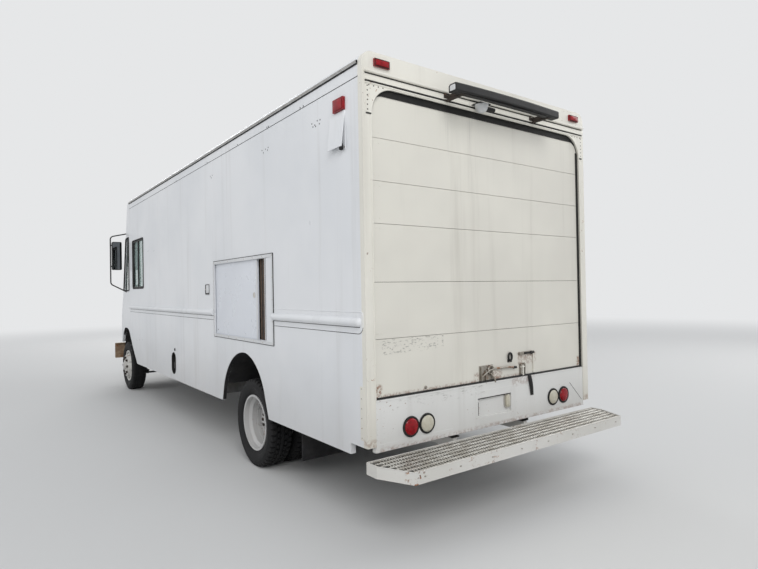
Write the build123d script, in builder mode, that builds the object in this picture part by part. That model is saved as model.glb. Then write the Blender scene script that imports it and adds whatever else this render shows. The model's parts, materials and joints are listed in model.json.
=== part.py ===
"""Step van: a flat-sided walk-in delivery body on a separate truck chassis.

Millimetres, +Z up. The origin is on the ground under the middle of the vehicle's box.
+X is the driver's side and +Y the rear, so the front points along -Y.
Distances called "behind" or "ahead" are along Y; heights are above the ground.
"""
import os
from math import cos, hypot, radians, sin

from build123d import *

os.makedirs("parts", exist_ok=True)

# Length: everything along Y is placed from the two axles and the rear face
wheelbase = 5283
rear_overhang = 1955  # rear axle to the body's rear face
front_overhang = 930  # front axle to the bumper's face
step_depth = 360  # rear step, from the rear face to its edge
rear_axle_y = (wheelbase + front_overhang - rear_overhang - step_depth) / 2
front_axle_y = rear_axle_y - wheelbase
rear_face_y = rear_axle_y + rear_overhang
bumper_y = front_axle_y - front_overhang
flat_end_y = front_axle_y + 468  # where the flat sides end and the nose begins

# Body shell
body_width = 2440
half_width = body_width / 2
wall = 40  # side wall, roof and nose skin with their posts
skirt_z = 530  # lower edge of the sides
roof_z = 3192
roof_corner = 80
wall_top_z = roof_z - roof_corner
inner_x = half_width - wall
floor_z = 905
floor_depth = 45
floor_low_z = floor_z - floor_depth
frame_depth = 45  # rear posts and header, front to back
post_width = 70
opening_top_z = roof_z - 222
opening_corner = 185  # concave gussets in the door opening's upper corners
corner_notch = (200, 75)  # lower rear corner of each side: length, height

# Chassis
rail_outer_x = half_width - 788
rail_flange = 70
rail_low_z = 530
rail_top_z = 760
rail_sheet = 8

# Wheels
tyre_radius = 405
tyre_width = 225
rim_half_width = 86
rim_flange_radius = 257
bead_radius = 250
front_tyre_x = half_width - 153  # middle of the front tyre
rear_tyre_x = half_width - 163  # middle of the outer rear tyre
dual_spacing = 265
disc_offset = dual_spacing / 2  # rim middle to the wheel's mounting face
stud_circle_radius = 137.5
stud_count = 8
spindle_radius = 35
running_gap = 0.3  # between a shaft and its bore
moving_gap = 6  # between a moving piece and its surround

# Nose: rows of height and how far ahead of the front axle its face lies
nose_sections = ((490, 815), (1230, 800), (1500, 622), (roof_z, -155))
nose_taper = 0.082  # how far each side comes in per length ahead of the flat end
nose_corner = 150
nose_low_z = 770  # lower edge between the wheels, just above the frame

# Wheel arches: distance behind the axle and height of each point
front_arch = {
    "rear_foot": (925, 520), "rear_shoulder": (590, 800), "rear_middle": (410, 965),
    "rear_top": (60, 1052), "front_top": (-90, 1052), "front_middle": (-400, 970),
    "front_shoulder": (-600, 760), "front_foot": (-700, 520),
}
rear_arch = {
    "rear_foot": (472, 520), "rear_shoulder": (400, 700), "rear_middle": (255, 930),
    "rear_top": (-20, 1060), "front_top": (-80, 1060), "front_middle": (-430, 920),
    "front_shoulder": (-591, 690), "front_foot": (-640, 520),
}


def side_plane(x):
    """Plane at x: local x runs to the rear, local y up, and it extrudes towards +X."""
    return Plane.YZ.offset(x)


def cross_plane(y):
    """Plane at y: local x runs to +X, local y up, and it extrudes towards the front."""
    return Plane.XZ.offset(-y)


def block(x_range, y_range, z_range, mode=Mode.ADD):
    """Box between the given low and high values of X, Y and Z."""
    sizes = [high - low for low, high in (x_range, y_range, z_range)]
    middle = [(low + high) / 2 for low, high in (x_range, y_range, z_range)]
    with Locations(tuple(middle)):
        Box(*sizes, mode=mode)


def turned(axle_y, radius, from_x, to_x, mode=Mode.ADD):
    """Cylinder about an axle's line between two places along X."""
    with Locations(Location(((from_x + to_x) / 2, axle_y, tyre_radius), (0, 90, 0))):
        Cylinder(radius, abs(to_x - from_x), mode=mode)


def gate_face(half, low_z, top_z, corner):
    """Front view of a gate shape: straight sides and a flat top with two round corners."""
    with BuildSketch() as gate:
        with BuildLine():
            FilletPolyline((-half, low_z), (-half, top_z), (half, top_z), (half, low_z), radius=corner)
            Line((half, low_z), (-half, low_z))
        make_face()
    return gate.sketch_local


def body_face(inset, low_z):
    """Front view of the body above low_z with its rounded roof edges, shrunk by inset."""
    return gate_face(half_width - inset, low_z, roof_z - inset, roof_corner - inset)


def arch_face(axle_y, arch):
    """Side view of a wheel arch round an axle."""
    at = {name: (axle_y + behind, height) for name, (behind, height) in arch.items()}
    with BuildSketch() as opening:
        with BuildLine():
            Line(at["rear_foot"], at["rear_shoulder"])
            ThreePointArc(at["rear_shoulder"], at["rear_middle"], at["rear_top"])
            Line(at["rear_top"], at["front_top"])
            ThreePointArc(at["front_top"], at["front_middle"], at["front_shoulder"])
            Line(at["front_shoulder"], at["front_foot"])
            Line(at["front_foot"], at["rear_foot"])
        make_face()
    return opening.sketch_local


def nose_face(front_y, inset, back_y):
    """Plan of the nose at one height: tapered sides and a flat front with round corners."""
    back_half = half_width - inset - nose_taper * (flat_end_y - back_y)
    front_half = half_width - inset - nose_taper * (flat_end_y - front_y)
    with BuildSketch() as plan:
        with BuildLine():
            corners = ((-back_half, back_y), (-front_half, front_y), (front_half, front_y), (back_half, back_y))
            FilletPolyline(*corners, radius=nose_corner - inset)
            Line((back_half, back_y), (-back_half, back_y))
        make_face()
    return plan.sketch_local


front_arch_face = arch_face(front_axle_y, front_arch)
rear_arch_face = arch_face(rear_axle_y, rear_arch)


# Frame rails: two channels joined by box cross members
member_length = 80
member_sheet = 6
member_low_z = rail_low_z + rail_sheet
member_high_z = rail_top_z - rail_sheet
member_rows = (  # ahead of the rear axle, height, whether it hangs from the rails' tops
    (-1650, 120, True), (-700, 120, True), (700, 120, True), (1900, 120, True), (3100, 120, True),
    (wheelbase - 1083, 60, False), (wheelbase - 230, 60, False), (wheelbase + 700, 60, False),
)
rail_back_y = rear_face_y - frame_depth
rail_front_y = bumper_y + rail_sheet
with BuildPart() as frame_rails:
    with BuildSketch(cross_plane(rail_back_y)):
        with Locations((rail_outer_x - rail_flange / 2, (rail_low_z + rail_top_z) / 2)):
            Rectangle(rail_flange, rail_top_z - rail_low_z)
        with Locations((rail_outer_x - rail_sheet - rail_flange / 2, (rail_low_z + rail_top_z) / 2)):
            Rectangle(rail_flange, rail_top_z - rail_low_z - 2 * rail_sheet, mode=Mode.SUBTRACT)
    extrude(amount=rail_back_y - rail_front_y)
    mirror(about=Plane.YZ)
    member_x = rail_outer_x - rail_sheet
    for ahead, height, is_high in member_rows:
        low_z = member_high_z - height if is_high else member_low_z
        member_y = (rear_axle_y - ahead - member_length / 2, rear_axle_y - ahead + member_length / 2)
        block((-member_x, member_x), member_y, (low_z, low_z + height))
        block((-member_x, member_x), (member_y[0] + member_sheet, member_y[1] - member_sheet),
              (low_z + member_sheet, low_z + height - member_sheet), Mode.SUBTRACT)
frame_rails.part.label = "frame_rails"
export_step(frame_rails.part, "parts/frame_rails.step")

# Front bumper: a channel open to the rear, bolted across the rails' ends
bumper_half = half_width - 20
bumper_low_z = 460
bumper_top_z = 730
bumper_depth = 75
bumper_gap = 10  # between the channel's flanges and the rails
rail_inner_x = rail_outer_x - rail_flange
with BuildPart() as front_bumper:
    block((-bumper_half, bumper_half), (bumper_y, bumper_y + rail_sheet), (bumper_low_z, bumper_top_z))
    flange_runs = (
        (-bumper_half, -rail_outer_x - bumper_gap), (-rail_inner_x + bumper_gap, rail_inner_x - bumper_gap),
        (rail_outer_x + bumper_gap, bumper_half),
    )
    for low_z in (bumper_low_z, bumper_top_z - rail_sheet):
        for x_range in flange_runs:
            block(x_range, (bumper_y, bumper_y + bumper_depth), (low_z, low_z + rail_sheet))
front_bumper.part.label = "front_bumper"
export_step(front_bumper.part, "parts/front_bumper.step")

# Wheel houses over all four wheel places, and the mud flaps behind the rear wheels
house_sheet = 6
front_house_x = (half_width - 586, half_width - 135)
rear_house_x = (half_width - 571, inner_x)
house_low_z = 700
flap_thickness = 10
flap_behind = 930
flap_low_z = 270
with BuildPart() as wheel_houses:
    for axle_y, arch, (low_x, high_x) in (
            (front_axle_y, front_arch_face, front_house_x), (rear_axle_y, rear_arch_face, rear_house_x)):
        with BuildSketch(side_plane(low_x)):
            add(arch)
            offset(amount=house_sheet, kind=Kind.INTERSECTION)
        extrude(amount=high_x - low_x)
        with BuildSketch(side_plane(low_x + house_sheet)):
            add(arch)
        extrude(amount=high_x - low_x, mode=Mode.SUBTRACT)
        block((low_x - 10, high_x + 10), (axle_y - 1000, axle_y + 1000), (400, house_low_z), Mode.SUBTRACT)
    flap_y = (rear_axle_y + flap_behind, rear_axle_y + flap_behind + flap_thickness)
    block((rear_house_x[0] + 40, inner_x - 30), flap_y, (flap_low_z, floor_low_z))
    mirror(about=Plane.YZ)
wheel_houses.part.label = "wheel_houses"
export_step(wheel_houses.part, "parts/wheel_houses.step")

# Curb-side entry door: its opening, its runner and the step well inside it
door_front_y = front_axle_y + 980
door_width = 760
door_back_y = door_front_y + door_width
door_low_z = 575
door_top_z = 2520
door_lap = 20  # how far the door laps the wall round the opening
door_thickness = 30
door_travel = 730
door_outer_x = inner_x - moving_gap
door_inner_x = door_outer_x - door_thickness
well_inner_x = half_width - 430
well_sheet = 12

# Floor slab with its cross sills, the engine opening, wheel house notches and step well
engine_bay_half = rail_outer_x - 112
firewall_y = front_axle_y - 560
cover_back_y = front_axle_y + 500
front_notch_y = front_axle_y + 600
rear_notch = (-545, 345)  # behind the rear axle, at the floor's height
sill_width = 60
sill_pitch = 420
sill_count = 14
past = 10  # how far a cutting block reaches past what it cuts
with BuildPart() as cargo_floor:
    floor_back_y = rear_face_y - frame_depth
    block((-inner_x, inner_x), (front_notch_y, floor_back_y), (floor_low_z, floor_z))
    block((-front_house_x[0], front_house_x[0]), (firewall_y, front_notch_y), (floor_low_z, floor_z))
    for number in range(sill_count):
        sill_y = floor_back_y - sill_width / 2 - 60 - number * sill_pitch
        block((-inner_x, inner_x), (sill_y - sill_width / 2, sill_y + sill_width / 2),
              (rail_top_z, floor_low_z))
    through_floor = (rail_top_z - past, floor_z + past)
    block((-engine_bay_half, engine_bay_half), (firewall_y - past, cover_back_y), through_floor, Mode.SUBTRACT)
    notch_y = (rear_axle_y + rear_notch[0], rear_axle_y + rear_notch[1])
    wheel_y = (rear_axle_y + rear_arch["front_foot"][0], rear_axle_y + rear_arch["rear_foot"][0] + 68)
    for x_range in ((rear_house_x[0], inner_x + past), (-inner_x - past, -rear_house_x[0])):
        block(x_range, notch_y, (house_low_z - 100, floor_z + past), Mode.SUBTRACT)
        block(x_range, wheel_y, (house_low_z - 100, floor_low_z), Mode.SUBTRACT)
    pocket_y = (door_front_y - door_lap - past, door_back_y + door_lap + door_travel + past)
    block((-inner_x - past, -door_inner_x + moving_gap), pocket_y, through_floor, Mode.SUBTRACT)
    block((-inner_x - past, -well_inner_x), (door_front_y, door_back_y), through_floor, Mode.SUBTRACT)
    well_x = (-door_inner_x + moving_gap, -well_inner_x)
    block(well_x, (door_front_y, door_back_y), (door_low_z, floor_low_z + 1))
    block((well_x[0] - 1, well_x[1] - well_sheet), (door_front_y + well_sheet, door_back_y - well_sheet),
          (door_low_z + well_sheet, floor_z), Mode.SUBTRACT)
cargo_floor.part.label = "cargo_floor"
export_step(cargo_floor.part, "parts/cargo_floor.step")

# Side hatch: an opening with a panel that slides forward in a pocket inside the wall
hatch_front_y = rear_face_y - 2770
hatch_back_y = rear_face_y - 1509
hatch_low_z = 1200
hatch_top_z = 1925
hatch_open = 200  # how far the panel stands open, as found
hatch_lap = 15
panel_thickness = 14
panel_gap = 5
pocket_skin = 8
hatch_travel = 990

# Windows: side window in the driver's wall, seen as distances behind the front axle
window_front_y = front_axle_y + 698
window_length = 690
window_low_z = 1718
window_top_z = 2476
window_corner = 30
glass = 6
filler_y = rear_axle_y - 2355
filler_z = 737
filler_size = (170, 274)


def wall_blank(low_x):
    """Side wall slab between the nose and the rear posts, with its arches and rear notch cut."""
    back_y = rear_face_y - frame_depth
    block((low_x, low_x + wall), (flat_end_y, back_y), (skirt_z, wall_top_z))
    for arch in (front_arch_face, rear_arch_face):
        extrude(side_plane(low_x) * arch, amount=wall, mode=Mode.SUBTRACT)
    notch_length, notch_height = corner_notch
    block((low_x, low_x + wall), (rear_face_y - notch_length, back_y), (skirt_z, skirt_z + notch_height),
          Mode.SUBTRACT)


with BuildPart() as side_wall_left:
    wall_blank(inner_x)
    with BuildSketch(side_plane(inner_x)):
        with Locations((window_front_y + window_length / 2, (window_low_z + window_top_z) / 2)):
            RectangleRounded(window_length, window_top_z - window_low_z, window_corner)
        with Locations((filler_y, filler_z)):
            SlotOverall(filler_size[1], filler_size[0], rotation=90)
    extrude(amount=wall, mode=Mode.SUBTRACT)
    block((inner_x, half_width), (hatch_front_y, hatch_back_y), (hatch_low_z, hatch_top_z), Mode.SUBTRACT)
    pocket_front_y = hatch_front_y - hatch_travel - 310
    block((inner_x + pocket_skin, half_width - pocket_skin), (pocket_front_y, hatch_back_y + hatch_lap + 10),
          (hatch_low_z - 20, hatch_top_z + 20), Mode.SUBTRACT)
side_wall_left.part.label = "side_wall_left"
export_step(side_wall_left.part, "parts/side_wall_left.step")

track_sheet = 6
track_drop = 24
hanger_gap_x = door_inner_x - 18
track_z = door_top_z + door_lap + 30
with BuildPart() as side_wall_right:
    wall_blank(-half_width)
    block((-half_width, -inner_x), (door_front_y, door_back_y), (door_low_z, door_top_z), Mode.SUBTRACT)
    track_y = (door_front_y - door_lap - 20, door_back_y + door_lap + door_travel + 20)
    block((-inner_x, -hanger_gap_x + track_sheet), track_y, (track_z, track_z + track_sheet))
    block((-hanger_gap_x, -hanger_gap_x + track_sheet), track_y, (track_z - track_drop, track_z))
side_wall_right.part.label = "side_wall_right"
export_step(side_wall_right.part, "parts/side_wall_right.step")

hanger_length = 60
hanger_inset = 60  # from the door opening's edges
grab_bar = (20, 50, 1150, 1450, 18)  # behind the opening's front edge: from, to; heights: from, to; depth
door_window = (90, 1700, 2420)  # margin at the sides, lower edge, upper edge
with BuildPart() as curb_door:
    block((-door_outer_x, -door_inner_x), (door_front_y - door_lap, door_back_y + door_lap),
          (door_low_z - door_lap + 10, door_top_z + door_lap))
    side_margin, low_z, high_z = door_window
    with BuildSketch(side_plane(-door_outer_x)):
        with Locations(((door_front_y + door_back_y) / 2, (low_z + high_z) / 2)):
            RectangleRounded(door_width - 2 * side_margin, high_z - low_z, window_corner)
    extrude(amount=door_thickness, mode=Mode.SUBTRACT)
    for hanger_y in (door_front_y + hanger_inset, door_back_y - hanger_inset):
        hanger_ends = (hanger_y - hanger_length / 2, hanger_y + hanger_length / 2)
        block((-door_outer_x, -hanger_gap_x - running_gap), hanger_ends,
              (door_top_z + door_lap - 5, track_z - running_gap))
    grab_from, grab_to, grab_low_z, grab_high_z, grab_depth = grab_bar
    block((-door_inner_x, -door_inner_x + grab_depth), (door_front_y + grab_from, door_front_y + grab_to),
          (grab_low_z, grab_high_z))
curb_door.part.label = "curb_door"
export_step(curb_door.part, "parts/curb_door.step")

with BuildPart() as curb_door_glass:
    with BuildSketch(side_plane(-(door_outer_x + door_inner_x) / 2 - glass / 2)):
        with Locations(((door_front_y + door_back_y) / 2, (low_z + high_z) / 2)):
            RectangleRounded(door_width - 2 * side_margin, high_z - low_z, window_corner)
    extrude(amount=glass)
curb_door_glass.part.label = "curb_door_glass"
export_step(curb_door_glass.part, "parts/curb_door_glass.step")

panel_length = hatch_back_y - hatch_front_y + 2 * hatch_lap + 20
panel_back_y = hatch_back_y - hatch_open
pocket_mid_x = (inner_x + half_width) / 2
with BuildPart() as hatch_panel:
    block((pocket_mid_x - panel_thickness / 2, pocket_mid_x + panel_thickness / 2),
          (panel_back_y - panel_length, panel_back_y),
          (hatch_low_z - 20 + running_gap, hatch_top_z + 20 - moving_gap))
hatch_panel.part.label = "hatch_panel"
export_step(hatch_panel.part, "parts/hatch_panel.step")

frame_proud = 6
hatch_trim = 28
hatch_jamb = 124
with BuildPart() as hatch_frame:
    proud_x = (half_width, half_width + frame_proud)
    outer_y = (hatch_front_y - hatch_trim, hatch_back_y + hatch_jamb + hatch_trim)
    inner_y = (hatch_front_y, hatch_back_y + hatch_jamb)
    block(proud_x, outer_y, (hatch_low_z - hatch_trim, hatch_top_z + hatch_trim))
    block(proud_x, inner_y, (hatch_low_z, hatch_top_z), Mode.SUBTRACT)
hatch_frame.part.label = "hatch_frame"
export_step(hatch_frame.part, "parts/hatch_frame.step")

# Roof with its drip rails
rail_drip = (12, 18)  # how far the drip rail stands out, and its height
with BuildPart() as roof:
    roof_back_y = rear_face_y - frame_depth
    with BuildSketch(cross_plane(roof_back_y)):
        add(body_face(0, wall_top_z - wall))
        add(body_face(wall, wall_top_z - wall), mode=Mode.SUBTRACT)
    extrude(amount=roof_back_y - flat_end_y)
    block((-half_width, half_width), (flat_end_y, roof_back_y), (wall_top_z - wall, wall_top_z), Mode.SUBTRACT)
    for side in (1, -1):
        rail_x = sorted((side * (half_width - 8), side * (half_width + rail_drip[0])))
        block(rail_x, (flat_end_y, roof_back_y), (wall_top_z, wall_top_z + rail_drip[1]))
roof.part.label = "roof"
export_step(roof.part, "parts/roof.step")

# Belt mouldings: half-round rub rails along the sides
belt_z = 1417
belt_height = 62
belt_depth = 30
belt_back_y = rear_face_y - 48
belt_front_y = flat_end_y + 10
belt_runs = (  # side, from, to
    (1, hatch_back_y + hatch_jamb + hatch_trim, belt_back_y),
    (1, belt_front_y, hatch_front_y - hatch_trim),
    (-1, door_back_y, belt_back_y),
)
with BuildPart() as belt_mouldings:
    for side, from_y, to_y in belt_runs:
        with BuildSketch(cross_plane(to_y)):
            with BuildLine():
                base_x = side * half_width
                ThreePointArc((base_x, belt_z - belt_height / 2), (base_x + side * belt_depth, belt_z),
                              (base_x, belt_z + belt_height / 2))
                Line((base_x, belt_z + belt_height / 2), (base_x, belt_z - belt_height / 2))
            make_face()
        extrude(amount=to_y - from_y)
belt_mouldings.part.label = "belt_mouldings"
export_step(belt_mouldings.part, "parts/belt_mouldings.step")

# Rear frame: corner posts and header in one, round the door opening
post_low_z = 605
opening_half = half_width - post_width
gutter_z = roof_z - 134
gutter_height = 12
gutter_depth = 16
gutter_inset = 25
with BuildPart() as rear_frame:
    with BuildSketch(cross_plane(rear_face_y)):
        add(body_face(0, post_low_z))
        add(gate_face(opening_half, post_low_z, opening_top_z, opening_corner), mode=Mode.SUBTRACT)
    extrude(amount=frame_depth)
    block((-half_width + gutter_inset, half_width - gutter_inset), (rear_face_y, rear_face_y + gutter_depth),
          (gutter_z - gutter_height, gutter_z))
rear_frame.part.label = "rear_frame"
export_step(rear_frame.part, "parts/rear_frame.step")

# Rear sill below the door, with its lamp holes and the plate recess
sill_low_z = 564
sill_face_y = rear_face_y - 6
lamp_z = 693
grommet_radius = 71
lens_radius = 57
red_lamp_x = half_width - 364
clear_lamp_x = half_width - 509
plate_middle = (12, 721)
plate_size = (375, 143)
plate_depth = 18
with BuildPart() as rear_sill:
    block((-opening_half, opening_half), (rear_face_y - frame_depth, sill_face_y), (sill_low_z, floor_z))
    with BuildSketch(cross_plane(sill_face_y)):
        with Locations(*[(side * x, lamp_z) for side in (1, -1) for x in (red_lamp_x, clear_lamp_x)]):
            Circle(grommet_radius)
    extrude(amount=frame_depth, mode=Mode.SUBTRACT)
    with BuildSketch(cross_plane(sill_face_y)):
        with Locations(plate_middle):
            RectangleRounded(*plate_size, 12)
    extrude(amount=plate_depth, mode=Mode.SUBTRACT)
rear_sill.part.label = "rear_sill"
export_step(rear_sill.part, "parts/rear_sill.step")

grommet_depth = 30
with BuildPart() as lamp_grommets:
    with BuildSketch(cross_plane(sill_face_y + 8)):
        with Locations(*[(side * x, lamp_z) for side in (1, -1) for x in (red_lamp_x, clear_lamp_x)]):
            Circle(grommet_radius)
            Circle(lens_radius, mode=Mode.SUBTRACT)
    extrude(amount=grommet_depth)
lamp_grommets.part.label = "lamp_grommets"
export_step(lamp_grommets.part, "parts/lamp_grommets.step")

# Red lamps: round tail lamps, header markers and side markers, by middle, size and plane
header_marker = (half_width - 157, roof_z - 70, 125, 50, 18)  # middle x, middle z, width, height, depth
side_marker = (264, roof_z - 297, 127, 88, 22)  # ahead of the rear face, middle z, length, height, depth
with BuildPart() as red_lamps:
    with BuildSketch(cross_plane(sill_face_y + 10)):
        with Locations((red_lamp_x, lamp_z), (-red_lamp_x, lamp_z)):
            Circle(lens_radius)
    extrude(amount=grommet_depth)
    middle_x, middle_z, width, height, depth = header_marker
    for side in (1, -1):
        block((side * middle_x - width / 2, side * middle_x + width / 2), (rear_face_y, rear_face_y + depth),
              (middle_z - height / 2, middle_z + height / 2))
    ahead, middle_z, width, height, depth = side_marker
    for low_x in (half_width, -half_width - depth):
        block((low_x, low_x + depth), (rear_face_y - ahead - width / 2, rear_face_y - ahead + width / 2),
              (middle_z - height / 2, middle_z + height / 2))
red_lamps.part.label = "red_lamps"
export_step(red_lamps.part, "parts/red_lamps.step")

# Roll-up rear door: six insulated panels between the posts
rear_door_y = rear_face_y - 22
rear_door_thickness = frame_depth - 22
rear_door_height = opening_top_z - 40 - floor_z
panel_heights = (398, 378, 389, 283, 285, 292)  # in proportion, from the foot up
seam_gap = 3
rear_door_seams = [
    floor_z + rear_door_height * sum(panel_heights[:count]) / sum(panel_heights)
    for count in range(len(panel_heights) + 1)
]
with BuildPart() as rear_door:
    for low_z, high_z in zip(rear_door_seams[:-1], rear_door_seams[1:]):
        top_gap = 0 if high_z == rear_door_seams[-1] else seam_gap
        block((-opening_half, opening_half), (rear_door_y - rear_door_thickness, rear_door_y),
              (low_z, high_z - top_gap))
    with BuildSketch(cross_plane(rear_face_y)):
        add(gate_face(opening_half, floor_z, opening_top_z, opening_corner))
    extrude(amount=frame_depth, mode=Mode.INTERSECT)
rear_door.part.label = "rear_door"
export_step(rear_door.part, "parts/rear_door.step")

# Door latch: base plate, handle bar and its catch, and a hasp plate
latch_depth = 10
latch_blocks = (  # across, from and to out from the door, height
    ((-50, 165), (0, latch_depth), (918, 1030)),
    ((-230, 40), (latch_depth, latch_depth + 12), (1000, 1016)),
    ((-70, -40), (0, latch_depth + 12), (985, 1030)),
    ((-480, -289), (0, 6), (935, 1107)),
)
with BuildPart() as door_latch:
    for x_range, (out_from, out_to), z_range in latch_blocks:
        block(x_range, (rear_door_y + out_from, rear_door_y + out_to), z_range)
door_latch.part.label = "door_latch"
export_step(door_latch.part, "parts/door_latch.step")

# Rear step: a boxed bumper with chamfered ends on two arms, and its tread
step_top_z = 530
step_low_z = 452
step_front_half = half_width + 20
step_back_half = half_width - 90
step_sheet = 6
step_behind = (10, 120, step_depth)  # its front edge, where its ends are cut off, and its back edge
step_arm_width = 40
step_arm_reach = 400  # ahead of the rear face
tread_thickness = 20


def step_face(inset):
    """Plan of the step with its back corners cut off, shrunk by inset."""
    front_y, cut_y, back_y = (rear_face_y + behind for behind in step_behind)
    with BuildSketch() as plan:
        Polygon((-step_front_half, front_y), (step_front_half, front_y), (step_front_half, cut_y),
                (step_back_half, back_y), (-step_back_half, back_y), (-step_front_half, cut_y), align=None)
        if inset:
            offset(amount=-inset, kind=Kind.INTERSECTION)
    return plan.sketch_local


with BuildPart() as rear_step:
    step_plane = Plane.XY.offset(step_low_z)
    extrude(step_plane * step_face(0), amount=step_top_z - step_low_z)
    extrude(step_plane * step_face(step_sheet), amount=step_top_z - step_low_z, mode=Mode.SUBTRACT)
    for side in (1, -1):
        low_x = side * (rail_outer_x - rail_flange / 2) - step_arm_width / 2
        arm_x = (low_x, low_x + step_arm_width)
        arm_front_y = rear_face_y - step_arm_reach
        block(arm_x, (arm_front_y, rear_face_y + step_depth - 20), (step_low_z, step_top_z - tread_thickness))
        block(arm_x, (arm_front_y, rear_face_y - frame_depth - 5), (step_low_z, rail_low_z))
rear_step.part.label = "rear_step"
export_step(rear_step.part, "parts/rear_step.step")

with BuildPart() as step_tread:
    extrude(Plane.XY.offset(step_top_z - tread_thickness) * step_face(step_sheet), amount=tread_thickness)
step_tread.part.label = "step_tread"
export_step(step_tread.part, "parts/step_tread.step")

# Visor bar: a square channel on two brackets over the door
visor_half = half_width - 643
visor_behind = (130, 210)
visor_z = (roof_z - 197, roof_z - 135)
visor_sheet = 5
visor_bracket_x = 480
visor_bracket_width = 50
visor_bracket_sheet = 8
with BuildPart() as visor_bar:
    near_y, far_y = (rear_face_y + behind for behind in visor_behind)
    block((-visor_half, visor_half), (near_y, far_y), visor_z)
    block((-visor_half, visor_half), (near_y + visor_sheet, far_y - visor_sheet),
          (visor_z[0] + visor_sheet, visor_z[1] - visor_sheet), Mode.SUBTRACT)
    for side in (1, -1):
        low_x = side * visor_bracket_x - visor_bracket_width / 2
        bracket_x = (low_x, low_x + visor_bracket_width)
        block(bracket_x, (rear_face_y, near_y + 2), (visor_z[0], visor_z[0] + visor_bracket_sheet))
        block(bracket_x, (rear_face_y, rear_face_y + visor_bracket_sheet), (visor_z[0], visor_z[1] - 16))
visor_bar.part.label = "visor_bar"
export_step(visor_bar.part, "parts/visor_bar.step")

# Camera hood on the driver's side: a plate that leans out at its foot from another on the wall
cover_ahead = (382, 202)  # of the rear face: its front and back edges
cover_z = (roof_z - 607, roof_z - 344)
cover_sheet = 4
cover_lean = 36  # how far its foot stands out
with BuildPart() as camera_hood:
    with BuildSketch(cross_plane(rear_face_y - cover_ahead[1])):
        low_z, high_z = cover_z
        foot_x = half_width + cover_lean
        Polygon((half_width, low_z), (half_width + cover_sheet, low_z), (half_width + cover_sheet, high_z - 30),
                (foot_x - cover_sheet, low_z + 15), (foot_x, low_z + 15), (half_width + 8, high_z),
                (half_width, high_z), align=None)
    extrude(amount=cover_ahead[0] - cover_ahead[1])
camera_hood.part.label = "camera_hood"
export_step(camera_hood.part, "parts/camera_hood.step")

# Nose shell: tapered, with a raked windshield face, a short hood and open arches
hood_low, hood_high = nose_sections[1], nose_sections[2]
screen_low, screen_high = nose_sections[2], nose_sections[3]


def face_plane(low, high, along):
    """Plane on the nose's face between two section rows, at a distance up from the lower one."""
    rise = high[0] - low[0]
    back = low[1] - high[1]
    length = hypot(rise, back)
    origin = (0, front_axle_y - low[1] + back / length * along, low[0] + rise / length * along)
    return Plane(origin=origin, x_dir=(1, 0, 0), z_dir=(0, -rise / length, back / length))


screen_half = half_width - 220
screen_divider = 50
screen_span = (70, 1270)  # up the windshield's face
screen_corner = 70
hood_half = half_width - 620
hood_span = (20, 280)
hood_sheet = 4
hinge_gap = 18  # slot along the hood's upper edge, where its hinge turns
hinge_out = 8  # hinge axis above the hood's outer face
hinge_along = hood_span[1] + 4
hinge_radius = 4
hinge_ear = 12
hinge_ear_length = 20
hinge_sunk = 2  # how deep the ears reach into the nose's face
skin_cut = wall * 1.6  # reaches through the nose's skin from its outer face
quarter_window = ((70, 1690), (70, 2570), (430, 2570), (790, 1690))  # ahead of the flat end, height
grille_half = half_width - 770
grille_z = (810, 1130)
lamp_x = (half_width - 660, half_width - 420)
turn_x = (half_width - 405, half_width - 325)
front_lamp_z = (870, 1060)
taper_plane = Plane(origin=(half_width, flat_end_y, 0), x_dir=(nose_taper, 1, 0), z_dir=(1, -nose_taper, 0))


def nose_loft(inset, back_y):
    """Solid between the nose's sections, shrunk by inset at the front, the sides and the top."""
    with BuildPart() as body:
        for height, ahead in nose_sections:
            drop = inset if height == roof_z else 0
            with BuildSketch(Plane.XY.offset(height - drop)):
                add(nose_face(front_axle_y - ahead + inset, inset, back_y))
        loft(ruled=True)
        roof_edges = [edge for edge in body.edges().group_by(Axis.Z)[-1] if edge.center().Y < back_y - 1]
        fillet(roof_edges, roof_corner - inset)
    return body.part


pane_width = screen_half - screen_divider / 2
pane_height = screen_span[1] - screen_span[0]
pane_places = [(side * (screen_divider + pane_width) / 2, sum(screen_span) / 2) for side in (1, -1)]
quarter_points = [(-ahead, height) for ahead, height in quarter_window]
screen_plane = face_plane(screen_low, screen_high, 0)
hood_plane = face_plane(hood_low, hood_high, 0)
hinge_plane = Plane(origin=hood_plane.from_local_coords(Vector(0, hinge_along, hinge_out)), x_dir=(0, 1, 0),
                    z_dir=(1, 0, 0))


def quarter_panes(outer_depth, inner_depth):
    """Both quarter windows as slabs that follow the tapered sides."""
    with BuildPart() as panes:
        with BuildSketch(taper_plane.offset(outer_depth)):
            with BuildLine():
                FilletPolyline(*quarter_points, radius=window_corner, close=True)
            make_face()
        extrude(amount=inner_depth - outer_depth)
        mirror(about=Plane.YZ)
    return panes.part


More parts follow.
